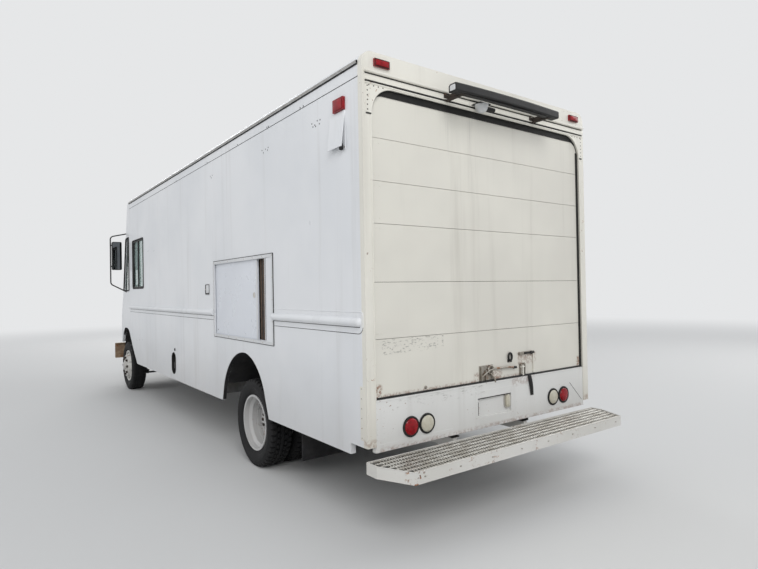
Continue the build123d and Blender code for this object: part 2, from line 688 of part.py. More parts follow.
nose_front_y = front_axle_y - nose_sections[1][1]
with BuildPart() as nose_shell:
    add(nose_loft(0, flat_end_y))
    add(nose_loft(wall, flat_end_y + 1), mode=Mode.SUBTRACT)
    block((-half_width, half_width), (bumper_y, flat_end_y), (0, skirt_z), Mode.SUBTRACT)
    block((-half_width, half_width), (bumper_y, front_axle_y - 300), (0, nose_low_z), Mode.SUBTRACT)
    extrude(side_plane(-half_width) * front_arch_face, amount=body_width, mode=Mode.SUBTRACT)
    with BuildSketch(screen_plane):
        with Locations(*pane_places):
            RectangleRounded(pane_width, pane_height, screen_corner)
    extrude(amount=skin_cut, both=True, mode=Mode.SUBTRACT)
    with BuildSketch(hood_plane):
        with Locations((0, (hood_span[0] - moving_gap + hood_span[1] + hinge_gap) / 2)):
            Rectangle(2 * (hood_half + moving_gap), hood_span[1] - hood_span[0] + moving_gap + hinge_gap)
    extrude(amount=skin_cut, both=True, mode=Mode.SUBTRACT)
    ear_x = hood_half + moving_gap + 2 + hinge_ear / 2
    with BuildSketch(hood_plane.offset(-hinge_sunk)):
        with Locations((ear_x, hinge_along), (-ear_x, hinge_along)):
            Rectangle(hinge_ear, hinge_ear_length)
    extrude(amount=hinge_sunk + hinge_out + 2 * hinge_radius)
    with BuildSketch(hinge_plane.offset(-hood_half - moving_gap - 4)):
        Circle(hinge_radius)
    extrude(amount=2 * (hood_half + moving_gap + 4))
    block((-grille_half, grille_half), (bumper_y, nose_front_y + 100), grille_z, Mode.SUBTRACT)
    for side in (1, -1):
        for x_range in (lamp_x, turn_x):
            block(sorted(side * x for x in x_range), (bumper_y, nose_front_y + 100), front_lamp_z,
                  Mode.SUBTRACT)
    add(quarter_panes(wall * 0.2, -wall * 1.2), mode=Mode.SUBTRACT)
nose_shell.part.label = "nose_shell"
export_step(nose_shell.part, "parts/nose_shell.step")

# Hood: a sheet lid with a stiffener inside, hung from a hinge pin along its upper edge
sleeve_radius = 8
sleeve_x = (150 - hood_half, 0, hood_half - 150)
sleeve_length = 90
stiffener_depth = 20
stiffener_margin = 40
with BuildPart() as hood:
    with BuildSketch(hood_plane.offset(-hood_sheet)):
        with Locations((0, sum(hood_span) / 2)):
            Rectangle(2 * hood_half, hood_span[1] - hood_span[0])
    extrude(amount=hood_sheet)
    with BuildSketch(hood_plane.offset(-stiffener_depth)):
        with Locations((0, sum(hood_span) / 2 - 10)):
            Rectangle(2 * (hood_half - stiffener_margin), hood_span[1] - hood_span[0] - 2 * stiffener_margin)
    extrude(amount=stiffener_depth - hood_sheet)
    with BuildSketch(hood_plane.offset(-1)):
        with Locations(*[(x, hinge_along - 6) for x in sleeve_x]):
            Rectangle(sleeve_length, 11)
    extrude(amount=hinge_out + 1)
    for x in sleeve_x:
        with BuildSketch(hinge_plane.offset(x - sleeve_length / 2)):
            Circle(sleeve_radius)
        extrude(amount=sleeve_length)
        with BuildSketch(hinge_plane.offset(x - sleeve_length / 2)):
            Circle(hinge_radius + running_gap)
        extrude(amount=sleeve_length, mode=Mode.SUBTRACT)
hood.part.label = "hood"
export_step(hood.part, "parts/hood.step")

# Grille: a frame with level bars in the nose's front opening
grille_bars = 6
grille_depth = 24
grille_rim = 18
grille_bar = 14
grille_face_y = nose_front_y + 12
with BuildPart() as grille:
    block((-grille_half, grille_half), (grille_face_y, grille_face_y + grille_depth), grille_z)
    block((-grille_half + grille_rim, grille_half - grille_rim), (grille_face_y, grille_face_y + grille_depth),
          (grille_z[0] + grille_rim, grille_z[1] - grille_rim), Mode.SUBTRACT)
    pitch = (grille_z[1] - grille_z[0] - grille_rim) / (grille_bars + 1)
    for number in range(grille_bars):
        low_z = grille_z[0] + grille_rim / 2 + (number + 1) * pitch - grille_bar / 2
        block((-grille_half, grille_half), (grille_face_y + 4, grille_face_y + grille_depth - 4),
              (low_z, low_z + grille_bar))
grille.part.label = "grille"
export_step(grille.part, "parts/grille.step")

# Clear lamps: headlamps in the nose and reversing lamps in the sill
with BuildPart() as clear_lamps:
    for side in (1, -1):
        block(sorted(side * x for x in lamp_x), (nose_front_y + 2, nose_front_y + 60), front_lamp_z)
    with BuildSketch(cross_plane(sill_face_y + 10)):
        with Locations((clear_lamp_x, lamp_z), (-clear_lamp_x, lamp_z)):
            Circle(lens_radius)
    extrude(amount=grommet_depth)
clear_lamps.part.label = "clear_lamps"
export_step(clear_lamps.part, "parts/clear_lamps.step")

# Amber lamps: turn lamps beside the headlamps and five markers over the windshield
marker_x = (320 - half_width, -220, 0, 220, half_width - 320)
marker_along = 1440
marker_size = (110, 45, 24)
with BuildPart() as amber_lamps:
    for side in (1, -1):
        block(sorted(side * x for x in turn_x), (nose_front_y + 2, nose_front_y + 60), front_lamp_z)
    with BuildSketch(screen_plane):
        with Locations(*[(x, marker_along) for x in marker_x]):
            RectangleRounded(marker_size[0], marker_size[1], 12)
    extrude(amount=marker_size[2])
amber_lamps.part.label = "amber_lamps"
export_step(amber_lamps.part, "parts/amber_lamps.step")

# Glass: two windshield panes, two quarter windows and the side window
with BuildPart() as cab_glass:
    with BuildSketch(screen_plane.offset(-(wall + glass) / 2)):
        with Locations(*pane_places):
            RectangleRounded(pane_width, pane_height, screen_corner)
    extrude(amount=glass)
    add(quarter_panes(-(wall - glass) / 2, -(wall + glass) / 2))
    with BuildSketch(side_plane((inner_x + half_width - glass) / 2)):
        with Locations((window_front_y + window_length / 2, (window_low_z + window_top_z) / 2)):
            RectangleRounded(window_length, window_top_z - window_low_z, window_corner)
    extrude(amount=glass)
cab_glass.part.label = "cab_glass"
export_step(cab_glass.part, "parts/cab_glass.step")

# Mirrors: a tall head hung on a bow of tube from two brackets on each side of the nose
mirror_y = front_axle_y + 38
mirror_bar_x = half_width + 210
mirror_head = ((half_width + 40, half_width + 190), (2040, 2515))
mirror_tube = 10
mirror_root_x = half_width - nose_taper * (flat_end_y - mirror_y)
mirror_path = (
    (mirror_root_x - 8, 2660), (mirror_bar_x, 2600), (mirror_bar_x, 1800), (mirror_root_x - 8, 1664),
)
with BuildPart() as mirrors:
    with BuildLine(cross_plane(mirror_y)) as bow:
        FilletPolyline(*mirror_path, radius=60)
    with BuildSketch(Plane(origin=bow.line @ 0, z_dir=bow.line % 0)):
        Circle(mirror_tube)
    sweep()
    head_x, head_z = mirror_head
    with BuildSketch(cross_plane(mirror_y + 35)):
        with Locations((sum(head_x) / 2, sum(head_z) / 2)):
            RectangleRounded(head_x[1] - head_x[0], head_z[1] - head_z[0], 20)
    extrude(amount=60)
    for arm_z in (head_z[0] + 60, head_z[1] - 60):
        block((head_x[1] - 5, mirror_bar_x), (mirror_y - 6, mirror_y + 6), (arm_z - 10, arm_z + 10))
    mirror(about=Plane.YZ)
    add(nose_loft(0, flat_end_y), mode=Mode.SUBTRACT)
mirrors.part.label = "mirrors"
export_step(mirrors.part, "parts/mirrors.step")

# Dashboard, firewall and the engine cover between the seats
dash_half = half_width - 170
dash_z = (1120, 1470)
dash_back_y = front_axle_y - 330
firewall_sheet = 8
firewall_low_z = 1066  # the upper part stands on the front wheel houses
toe_board_top_z = 1100
engine_cover_sheet = 20
cover_top_z = 1230
column_x = half_width - 580
column_top = (column_x, front_axle_y - 190, 1400)
column_tilt = 40
column_radius = 32
column_length = 270
column_plane = Plane(origin=column_top, x_dir=(1, 0, 0),
                     z_dir=(0, sin(radians(column_tilt)), cos(radians(column_tilt))))
column_core = 12
wheel_rise = 60  # column's end to the middle of the steering wheel
with BuildPart() as dash_and_cover:
    block((-dash_half, dash_half), (firewall_y, firewall_y + firewall_sheet), (firewall_low_z, dash_z[1]))
    block((-front_house_x[0], front_house_x[0]), (firewall_y - firewall_sheet, firewall_y),
          (floor_low_z, toe_board_top_z))
    with BuildSketch(side_plane(-dash_half)):
        Polygon((firewall_y + firewall_sheet, dash_z[0]), (dash_back_y - 30, dash_z[0]),
                (dash_back_y, dash_z[0] + 110), (dash_back_y - 60, dash_z[1]),
                (firewall_y + firewall_sheet, dash_z[1]), align=None)
    extrude(amount=2 * dash_half)
    cover_half = engine_bay_half + engine_cover_sheet
    block((-cover_half, cover_half), (firewall_y, cover_back_y + engine_cover_sheet), (floor_z, cover_top_z))
    block((-engine_bay_half, engine_bay_half), (firewall_y + firewall_sheet, cover_back_y),
          (floor_z, cover_top_z - engine_cover_sheet), Mode.SUBTRACT)
    with BuildSketch(column_plane):
        Circle(column_radius)
    extrude(amount=-column_length)
    with BuildSketch(column_plane):
        Circle(column_core)
    extrude(amount=wheel_rise + 4)
dash_and_cover.part.label = "dash_and_cover"
export_step(dash_and_cover.part, "parts/dash_and_cover.step")

ring_radius = 225
ring_tube = 14
spoke_width = 36
with BuildPart() as steering_wheel:
    hub_plane = column_plane.offset(wheel_rise)
    with BuildSketch(Plane(origin=hub_plane.origin + hub_plane.x_dir * ring_radius, x_dir=hub_plane.x_dir,
                           z_dir=hub_plane.y_dir * -1)):
        Circle(ring_tube)
    revolve(axis=Axis(hub_plane.origin, hub_plane.z_dir))
    with BuildSketch(hub_plane.offset(-10)):
        Circle(45)
        for turn in (0, 180, 270):
            with Locations(Location((0, 0), turn)):
                with Locations((ring_radius / 2, 0)):
                    Rectangle(ring_radius - 4, spoke_width)
    extrude(amount=16)
    with BuildSketch(hub_plane.offset(-40)):
        Circle(40)
    extrude(amount=40)
    with BuildSketch(hub_plane.offset(-41)):
        Circle(column_core + running_gap)
    extrude(amount=41 + 4 + running_gap, mode=Mode.SUBTRACT)
    with BuildSketch(hub_plane.offset(4 + running_gap)):
        Circle(45)
    extrude(amount=14)
steering_wheel.part.label = "steering_wheel"
export_step(steering_wheel.part, "parts/steering_wheel.step")

# Driver's seat on its pedestal
seat_x = (column_x - 240, column_x + 240)
seat_y = (front_axle_y + 400, front_axle_y + 870)
seat_z = (1255, 1385)
back_low_z = seat_z[1] + 20
back_top_z = 2080
pan_depth = 30
pedestal_half = 125
pan_half = 200
post_half = 150
with BuildPart() as seat_base:
    for half, y_range, z_range in (
            (pedestal_half, (seat_y[0] + 210, seat_y[1] - 10), (floor_z, seat_z[0] - pan_depth)),
            (pan_half, (seat_y[0] + 60, seat_y[1] + 90), (seat_z[0] - pan_depth, seat_z[0] - running_gap)),
            (post_half, (seat_y[1] + 50, seat_y[1] + 90), (seat_z[0] - pan_depth, back_low_z - running_gap))):
        block((column_x - half, column_x + half), y_range, z_range)
seat_base.part.label = "seat_base"
export_step(seat_base.part, "parts/seat_base.step")

with BuildPart() as seat_back:
    with BuildSketch(side_plane(seat_x[0] + 10)):
        Polygon((seat_y[1] + 20, back_low_z), (seat_y[1] + 130, back_low_z),
                (seat_y[1] + 190, back_top_z), (seat_y[1] + 110, back_top_z), align=None)
    extrude(amount=seat_x[1] - seat_x[0] - 20)
    fillet(seat_back.edges(), 25)
with BuildPart() as driver_seat:
    block(seat_x, seat_y, seat_z)
    fillet(driver_seat.edges(), 30)
    add(seat_back.part)
driver_seat.part.label = "driver_seat"
export_step(driver_seat.part, "parts/driver_seat.step")

# Engine and gearbox: one plain block between the rails on the front cross members
engine_half = rail_outer_x - 152
engine_top_z = 1170
engine_back_y = front_axle_y + 440
gearbox_half = rail_outer_x - 262
gearbox_top_z = 850
gearbox_back_y = front_axle_y + 1150
with BuildPart() as engine_block:
    engine_low_z = member_low_z + member_rows[-1][1]
    block((-engine_half, engine_half), (firewall_y + 50, engine_back_y), (engine_low_z, engine_top_z))
    block((-gearbox_half, gearbox_half), (engine_back_y, gearbox_back_y), (engine_low_z, gearbox_top_z))
engine_block.part.label = "engine_block"
export_step(engine_block.part, "parts/engine_block.step")

# Leaf springs outside the rails: rows of axle, eye height, axle pad height
spring_x = rail_outer_x + 58
spring_width = 75
leaf = 14
leaf_halves = (620, 500, 380, 260)
spring_rows = ((front_axle_y, 520, 391), (rear_axle_y, 619, 490))
hanger_half = 32
with BuildPart() as leaf_springs:
    for axle_y, eye_z, pad_z in spring_rows:
        stack = leaf * len(leaf_halves)
        sag = eye_z - (pad_z + stack)
        radius = (leaf_halves[0] ** 2 + sag ** 2) / (2 * sag)
        middle_z = pad_z + stack + radius  # centre of all the leaves' arcs
        for number, half_length in enumerate(leaf_halves):
            inner = radius + number * leaf
            outer = inner + leaf
            spread = half_length / inner
            with BuildSketch(side_plane(spring_x - spring_width / 2)):
                with BuildLine():
                    ends = [(axle_y + side * r * sin(spread), middle_z - r * cos(spread))
                            for side, r in ((-1, inner), (1, inner), (1, outer), (-1, outer))]
                    ThreePointArc(ends[0], (axle_y, middle_z - inner), ends[1])
                    Line(ends[1], ends[2])
                    ThreePointArc(ends[2], (axle_y, middle_z - outer), ends[3])
                    Line(ends[3], ends[0])
                make_face()
            extrude(amount=spring_width)
        for side in (-1, 1):
            eye_y = axle_y + side * leaf_halves[0]
            block((rail_outer_x, spring_x + spring_width / 2), (eye_y - hanger_half, eye_y + hanger_half),
                  (eye_z - 20, eye_z + 60))
    mirror(about=Plane.YZ)
leaf_springs.part.label = "leaf_springs"
export_step(leaf_springs.part, "parts/leaf_springs.step")

# Front axle: a dropped beam with an eye for each kingpin
kingpin_x = half_width - 320
kingpin_radius = 20
eye_radius = 38
eye_z_range = (345, 460)
beam_low_z = 300
beam_half_depth = 45
neck_half_depth = 25  # beam beside the kingpins
neck_reach = 60
beam_rows = (  # distance from the kingpins inwards or from the middle outwards, height on the upper side
    (kingpin_x, eye_z_range[0] + 5), (kingpin_x, eye_z_range[1] - 5), (kingpin_x - 150, eye_z_range[1] - 5),
    (kingpin_x - 260, spring_rows[0][2]),
)
beam_foot_rows = ((kingpin_x - 300, beam_low_z), (kingpin_x - 130, eye_z_range[0] + 5))
with BuildPart() as front_axle:
    with BuildSketch(cross_plane(front_axle_y + beam_half_depth)):
        half_beam = beam_foot_rows + beam_rows
        Polygon(*half_beam, *[(-x, z) for x, z in reversed(half_beam)], align=None)
    extrude(amount=2 * beam_half_depth)
    for x in (-kingpin_x, kingpin_x):
        for near_y, far_y in ((-neck_reach, -neck_half_depth), (neck_half_depth, neck_reach)):
            block((x - neck_reach, x + neck_reach), (front_axle_y + near_y, front_axle_y + far_y),
                  (beam_low_z, eye_z_range[1] + past), Mode.SUBTRACT)
    with BuildSketch(Plane.XY.offset(eye_z_range[0])):
        with Locations((-kingpin_x, front_axle_y), (kingpin_x, front_axle_y)):
            Circle(eye_radius)
    extrude(amount=eye_z_range[1] - eye_z_range[0])
    with BuildSketch(Plane.XY.offset(eye_z_range[0])):
        with Locations((-kingpin_x, front_axle_y), (kingpin_x, front_axle_y)):
            Circle(kingpin_radius + running_gap)
    extrude(amount=eye_z_range[1] - eye_z_range[0], mode=Mode.SUBTRACT)
front_axle.part.label = "front_axle"
export_step(front_axle.part, "parts/front_axle.step")

# Knuckles: two ears on a kingpin, a flange, the spindle, and a steering arm to the rear
ear_thickness = 32
ear_gap = 5
flange_x = kingpin_x + 50  # inner face of the flange
flange_thickness = 22
flange_half = 70
spindle_end_x = front_tyre_x + disc_offset + 20
arm_reach = 200
arm_boss_radius = 28
arm_half = 24
arm_thickness = 24
tie_pin_radius = 10
ear_low_z = eye_z_range[0] - ear_gap - ear_thickness
knuckles = {}
for side_name, side in (("left", 1), ("right", -1)):
    pin_place = (side * kingpin_x, front_axle_y)
    arm_end = (side * kingpin_x, front_axle_y + arm_reach)
    with BuildPart() as knuckle:
        for low_z in (ear_low_z, eye_z_range[1] + ear_gap):
            with BuildSketch(Plane.XY.offset(low_z)):
                with Locations(pin_place):
                    Circle(40)
                with Locations((side * (kingpin_x + flange_x) / 2, front_axle_y)):
                    Rectangle(flange_x - kingpin_x + 2, 80)
            extrude(amount=ear_thickness)
        with BuildSketch(Plane.XY.offset(ear_low_z)):
            with Locations(pin_place):
                Circle(kingpin_radius)
        extrude(amount=eye_z_range[1] + ear_gap + ear_thickness - ear_low_z)
        block(sorted((side * flange_x, side * (flange_x + flange_thickness))),
              (front_axle_y - flange_half, front_axle_y + flange_half),
              (ear_low_z, eye_z_range[1] + ear_gap + ear_thickness))
        turned(front_axle_y, spindle_radius, side * (flange_x + flange_thickness), side * spindle_end_x)
        with BuildSketch(Plane.XY.offset(ear_low_z)):
            with BuildLine():
                Polyline((pin_place[0] - arm_half, pin_place[1]), (pin_place[0] + arm_half, pin_place[1]),
                         (arm_end[0] + arm_half, arm_end[1]), (arm_end[0] - arm_half, arm_end[1]), close=True)
            make_face()
            with Locations(arm_end):
                Circle(arm_boss_radius)
                Circle(tie_pin_radius + running_gap, mode=Mode.SUBTRACT)
        extrude(amount=arm_thickness)
    knuckle.part.label = f"knuckle_{side_name}"
    export_step(knuckle.part, f"parts/knuckle_{side_name}.step")

# Tie rod: joins the two steering arms from below
tie_boss_radius = 24
tie_boss_height = 34
tie_rod_radius = 15
with BuildPart() as tie_rod:
    tie_top_z = ear_low_z - ear_gap
    tie_y = front_axle_y + arm_reach
    for side in (1, -1):
        with BuildSketch(Plane.XY.offset(tie_top_z - tie_boss_height)):
            with Locations((side * kingpin_x, tie_y)):
                Circle(tie_boss_radius)
        extrude(amount=tie_boss_height)
        with BuildSketch(Plane.XY.offset(tie_top_z - 1)):
            with Locations((side * kingpin_x, tie_y)):
                Circle(tie_pin_radius)
        extrude(amount=ear_gap + arm_thickness + 1)
    with BuildSketch(side_plane(-kingpin_x)):
        with Locations((tie_y, tie_top_z - tie_boss_height / 2)):
            Circle(tie_rod_radius)
    extrude(amount=2 * kingpin_x)
tie_rod.part.label = "tie_rod"
export_step(tie_rod.part, "parts/tie_rod.step")

# Rear axle: a tube with its differential, spindles and the drive shaft to the gearbox
axle_tube_radius = 75
axle_tube_half = half_width - 620
rear_spindle_radius = 50
rear_spindle_end_x = rear_tyre_x - disc_offset + 60
diff_radius = 190
shaft_radius = 45
pad_half = 45
yoke_half = 60
yoke_z = 640
with BuildPart() as rear_axle:
    pad_z = spring_rows[1][2]
    turned(rear_axle_y, axle_tube_radius, -axle_tube_half, axle_tube_half)
    turned(rear_axle_y, rear_spindle_radius, -rear_spindle_end_x, rear_spindle_end_x)
    with Locations((0, rear_axle_y, tyre_radius)):
        Sphere(diff_radius)
    for side in (1, -1):
        low_x = side * spring_x - pad_half
        block((low_x, low_x + 2 * pad_half), (rear_axle_y - 60, rear_axle_y + 60), (tyre_radius, pad_z))
    gearbox_end = Vector(0, gearbox_back_y + 10, yoke_z)
    diff_nose = Vector(0, rear_axle_y - diff_radius + 40, tyre_radius + 10)
    with BuildSketch(Plane(origin=gearbox_end, z_dir=diff_nose - gearbox_end)):
        Circle(shaft_radius)
    extrude(amount=(diff_nose - gearbox_end).length)
    block((-yoke_half, yoke_half), (gearbox_back_y, gearbox_back_y + 50), (yoke_z - 40, yoke_z + 50))
rear_axle.part.label = "rear_axle"
export_step(rear_axle.part, "parts/rear_axle.step")

# Fuel tank under the filler, with brackets to the rail and the filler's cup
tank_x = (rail_outer_x + 40, inner_x - 200)
tank_half_length = 560
tank_z = (370, 700)
cup_wall = 8
with BuildPart() as fuel_tank:
    block(tank_x, (filler_y - tank_half_length, filler_y + tank_half_length), tank_z)
    fillet(fuel_tank.edges().filter_by(Axis.Y), 60)
    for bracket_y in (filler_y - 350, filler_y + 350):
        block((rail_outer_x, tank_x[0] + 30), (bracket_y - 30, bracket_y + 30),
              (tank_z[0] + 170, tank_z[1] - 20))
    with BuildSketch(side_plane(inner_x)):
        with Locations((filler_y, filler_z)):
            SlotOverall(filler_size[1], filler_size[0], rotation=90)
    extrude(amount=wall - 6)
    with BuildSketch(side_plane(inner_x + cup_wall)):
        with Locations((filler_y, filler_z)):
            SlotOverall(filler_size[1] - 2 * cup_wall, filler_size[0] - 2 * cup_wall, rotation=90)
    extrude(amount=wall, mode=Mode.SUBTRACT)
    block((tank_x[1] - 60, inner_x + 1), (filler_y - 40, filler_y + 40), (tank_z[1] - 75, tank_z[1] - 5))
fuel_tank.part.label = "fuel_tank"
export_step(fuel_tank.part, "parts/fuel_tank.step")

# Exhaust: a muffler on the curb side with its pipes, hung from the rail
muffler_x = -rail_outer_x - 168
muffler_z = 610
muffler_radius = 115
muffler_y = (front_axle_y + 1900, front_axle_y + 2800)
pipe_radius = 38
tail_end_y = rear_axle_y - 720
with BuildPart() as exhaust:
    with BuildSketch(cross_plane(muffler_y[1])):
        with Locations((muffler_x, muffler_z)):
            Circle(muffler_radius)
    extrude(amount=muffler_y[1] - muffler_y[0])
    with BuildLine() as tail_line:
        FilletPolyline((muffler_x, muffler_y[0] + 20, muffler_z), (muffler_x, tail_end_y, muffler_z),
                       (-half_width + 90, tail_end_y + 60, muffler_z - 90), radius=150)
    with BuildSketch(Plane(origin=tail_line.line @ 0, z_dir=tail_line.line % 0)):
        Circle(pipe_radius)
    sweep()
    with BuildSketch(cross_plane(muffler_y[0] + 10)):
        with Locations((muffler_x, muffler_z)):
            Circle(pipe_radius)
    extrude(amount=muffler_y[0] + 10 - front_axle_y - 900)
    for hanger_y in (muffler_y[0] + 200, muffler_y[1] - 200):
        block((muffler_x, -rail_outer_x), (hanger_y - 20, hanger_y + 20), (muffler_z + 40, muffler_z + 90))
exhaust.part.label = "exhaust"
export_step(exhaust.part, "parts/exhaust.step")


# Rims as rings about the axle: rows of distance out from the rim's middle, and radius
flange_row = rim_half_width + 9
rim_rows = (
    (flange_row, rim_flange_radius), (flange_row - 9, rim_flange_radius),
    (flange_row - 9, bead_radius - running_gap), (52, bead_radius - running_gap - 3), (36, 226), (-20, 226),
    (-52, bead_radius - running_gap - 3),
    (-flange_row + 9, bead_radius - running_gap), (-flange_row + 9, rim_flange_radius),
    (-flange_row, rim_flange_radius), (-flange_row, bead_radius - 10), (-50, bead_radius - 12), (-24, 216),
    (30, 216), (52, 232), (flange_row, bead_radius - 10),
)
disc_thickness = 12
disc_rows = (  # conical disc from the rim's well to the mounting face
    (26, 220), (34, 220), (70, 214), (96, 190), (disc_offset, 176), (disc_offset, 112),
    (disc_offset - disc_thickness, 112), (disc_offset - disc_thickness, 170), (90, 178), (62, 202), (26, 206),
)
hand_hole_radius = 17
hand_hole_circle = 193
nut_radius = 17
nut_height = 26
tyre_rows = {  # distance from the tyre's middle, radius
    "bead": (rim_half_width - 0.5, bead_radius), "heel": (rim_half_width - 0.5, 264), "bulge": (112.5, 322),
    "shoulder": (100, 388), "edge": (86, 404), "crown": (0, tyre_radius),
}


def ring_face(rows, middle_x, out):
    """Half section of a ring about the X axis: rows of distance and radius, drawn out from middle_x."""
    with BuildSketch() as section:
        with BuildLine():
            Polyline(*[(middle_x + out * x, radius) for x, radius in rows], close=True)
        make_face()
    return section.sketch_local


def tyre_face(middle_x):
    """Half section of a tyre: bulged sidewalls, round shoulders, a nearly flat crown and a hollow inside."""
    with BuildSketch() as section:
        for shrink, top in ((0, 0), (14, 22)):
            mode = Mode.SUBTRACT if shrink else Mode.ADD
            at = {name: (x - (shrink if x else 0), radius - (top if radius > 330 else 0))
                  for name, (x, radius) in tyre_rows.items()}
            with BuildLine():
                for side in (-1, 1):
                    points = {name: (middle_x + side * x, radius) for name, (x, radius) in at.items()}
                    Line(points["bead"], points["heel"])
                    ThreePointArc(points["heel"], points["bulge"], points["shoulder"])
                    Line(points["shoulder"], points["edge"])
                edges = [(middle_x + side * at["edge"][0], at["edge"][1]) for side in (-1, 1)]
                ThreePointArc(edges[0], (middle_x, at["crown"][1]), edges[1])
                Line((middle_x - at["bead"][0], bead_radius), (middle_x + at["bead"][0], bead_radius))
            make_face(mode=mode)
    return section.sketch_local


def wheel_plane(axle_y):
    """Plane through an axle's line, for half sections drawn over it."""
    return Plane(origin=(0, axle_y, tyre_radius), x_dir=(1, 0, 0), z_dir=(0, -1, 0))


def axis_of(axle_y):
    """The line that an axle's wheels turn about."""
    return Axis((0, axle_y, tyre_radius), (1, 0, 0))


hub_radius = 112
cap_radius = 62
boss_radius = 160
shaft_flange_radius = 88
drum_radius = 185
drum_x = (flange_x + flange_thickness + 8, front_tyre_x + 95)
for side_name, side in (("left", 1), ("right", -1)):
    mount_x = side * (front_tyre_x + disc_offset)
    with BuildPart() as front_rim:
        with BuildSketch(wheel_plane(front_axle_y)):
            add(ring_face(rim_rows, side * front_tyre_x, side))
            add(ring_face(disc_rows, side * front_tyre_x, side))
        revolve(axis=axis_of(front_axle_y))
        with BuildSketch(side_plane(side * front_tyre_x)):
            with Locations((front_axle_y, tyre_radius)):
                with PolarLocations(hand_hole_circle, stud_count, start_angle=180 / stud_count):
                    Circle(hand_hole_radius)
        extrude(amount=side * 200, mode=Mode.SUBTRACT)
        with BuildSketch(side_plane(mount_x)):
            with Locations((front_axle_y, tyre_radius)):
                with PolarLocations(stud_circle_radius, stud_count):
                    RegularPolygon(nut_radius, 6)
        extrude(amount=side * nut_height)
        turned(front_axle_y, drum_radius, side * drum_x[0], side * drum_x[1])
        turned(front_axle_y, boss_radius, side * (drum_x[1] - 1), mount_x - side * disc_thickness)
        turned(front_axle_y, hub_radius, side * drum_x[1], mount_x + side * 8)
        turned(front_axle_y, cap_radius, side * drum_x[1], mount_x + side * 38)
        turned(front_axle_y, spindle_radius + running_gap, side * drum_x[0], side * (spindle_end_x + 2),
               Mode.SUBTRACT)
    front_rim.part.label = f"front_rim_{side_name}"
    export_step(front_rim.part, f"parts/front_rim_{side_name}.step")

    with BuildPart() as front_tyre:
        with BuildSketch(wheel_plane(front_axle_y)):
            add(tyre_face(side * front_tyre_x))
        revolve(axis=axis_of(front_axle_y))
    front_tyre.part.label = f"front_tyre_{side_name}"
    export_step(front_tyre.part, f"parts/front_tyre_{side_name}.step")

    inner_tyre_x = rear_tyre_x - dual_spacing
    with BuildPart() as rear_rims:
        for middle_x, out in ((rear_tyre_x, -1), (inner_tyre_x, 1)):
            with BuildSketch(wheel_plane(rear_axle_y)):
                add(ring_face(rim_rows, side * middle_x, side * out))
                add(ring_face(disc_rows, side * middle_x, side * out))
            revolve(axis=axis_of(rear_axle_y))
        mate_x = rear_tyre_x - disc_offset
        with BuildSketch(side_plane(side * (inner_tyre_x + 20))):
            with Locations((rear_axle_y, tyre_radius)):
                with PolarLocations(hand_hole_circle, stud_count, start_angle=180 / stud_count):
                    Circle(hand_hole_radius)
        extrude(amount=side * (dual_spacing - 40), mode=Mode.SUBTRACT)
        with BuildSketch(side_plane(side * mate_x)):
            with Locations((rear_axle_y, tyre_radius)):
                with PolarLocations(stud_circle_radius, stud_count):
                    RegularPolygon(nut_radius, 6)
        extrude(amount=side * (disc_thickness + nut_height))
        boss_x = axle_tube_half + 10
        hub_x = mate_x + disc_thickness
        turned(rear_axle_y, boss_radius, side * boss_x, side * (mate_x - disc_thickness))
        turned(rear_axle_y, hub_radius, side * (mate_x - disc_thickness - 1), side * (hub_x + 11))
        turned(rear_axle_y, shaft_flange_radius, side * hub_x, side * (hub_x + 95))
        turned(rear_axle_y, rear_spindle_radius + running_gap, side * boss_x, side * (rear_spindle_end_x + 2),
               Mode.SUBTRACT)
    rear_rims.part.label = f"rear_rims_{side_name}"
    export_step(rear_rims.part, f"parts/rear_rims_{side_name}.step")

    with BuildPart() as rear_tyres:
        for middle_x in (rear_tyre_x, inner_tyre_x):
            with BuildSketch(wheel_plane(rear_axle_y)):
                add(tyre_face(side * middle_x))
            revolve(axis=axis_of(rear_axle_y))
    rear_tyres.part.label = f"rear_tyres_{side_name}"
    export_step(rear_tyres.part, f"parts/rear_tyres_{side_name}.step")
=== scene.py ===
# %% [markdown]
# # A step van, dressed
# A step van is a walk-in delivery truck: a flat-sided aluminium body, tall enough to stand
# in, set on a separate chassis with twin rear wheels. The part's solids already have every
# main form and the moving pieces, and this script gives them their looks: worn white paint,
# rivets, mouldings, lamps, tyre tread and glass. Lengths are in metres, +Z is up, +Y is the
# rear and +X the driver's side.

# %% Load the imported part
import json
import math

import bmesh
import bpy
import numpy as np
from mathutils import Matrix, Vector


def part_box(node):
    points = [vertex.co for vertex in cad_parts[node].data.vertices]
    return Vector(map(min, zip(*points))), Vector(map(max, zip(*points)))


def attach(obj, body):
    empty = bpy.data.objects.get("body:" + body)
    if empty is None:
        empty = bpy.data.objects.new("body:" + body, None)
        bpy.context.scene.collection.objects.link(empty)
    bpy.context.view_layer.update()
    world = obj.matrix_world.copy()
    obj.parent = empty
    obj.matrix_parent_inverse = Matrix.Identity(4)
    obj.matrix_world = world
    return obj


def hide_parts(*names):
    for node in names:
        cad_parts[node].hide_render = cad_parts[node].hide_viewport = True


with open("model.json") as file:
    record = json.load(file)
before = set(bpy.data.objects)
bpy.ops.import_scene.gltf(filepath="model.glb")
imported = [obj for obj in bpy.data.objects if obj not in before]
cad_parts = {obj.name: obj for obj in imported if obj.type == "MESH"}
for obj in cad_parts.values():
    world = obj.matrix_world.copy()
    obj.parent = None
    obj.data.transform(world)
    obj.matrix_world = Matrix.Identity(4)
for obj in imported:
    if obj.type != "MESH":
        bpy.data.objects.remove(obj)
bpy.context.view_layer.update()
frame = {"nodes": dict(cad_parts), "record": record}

# %% [markdown]
# The dressing is placed from a few planes of the body. They are read from the part's own
# boxes, so that the pieces sit on the solids. The side wall gives the flat side, the sill
# gives the rear face, and the wheels give the axles.

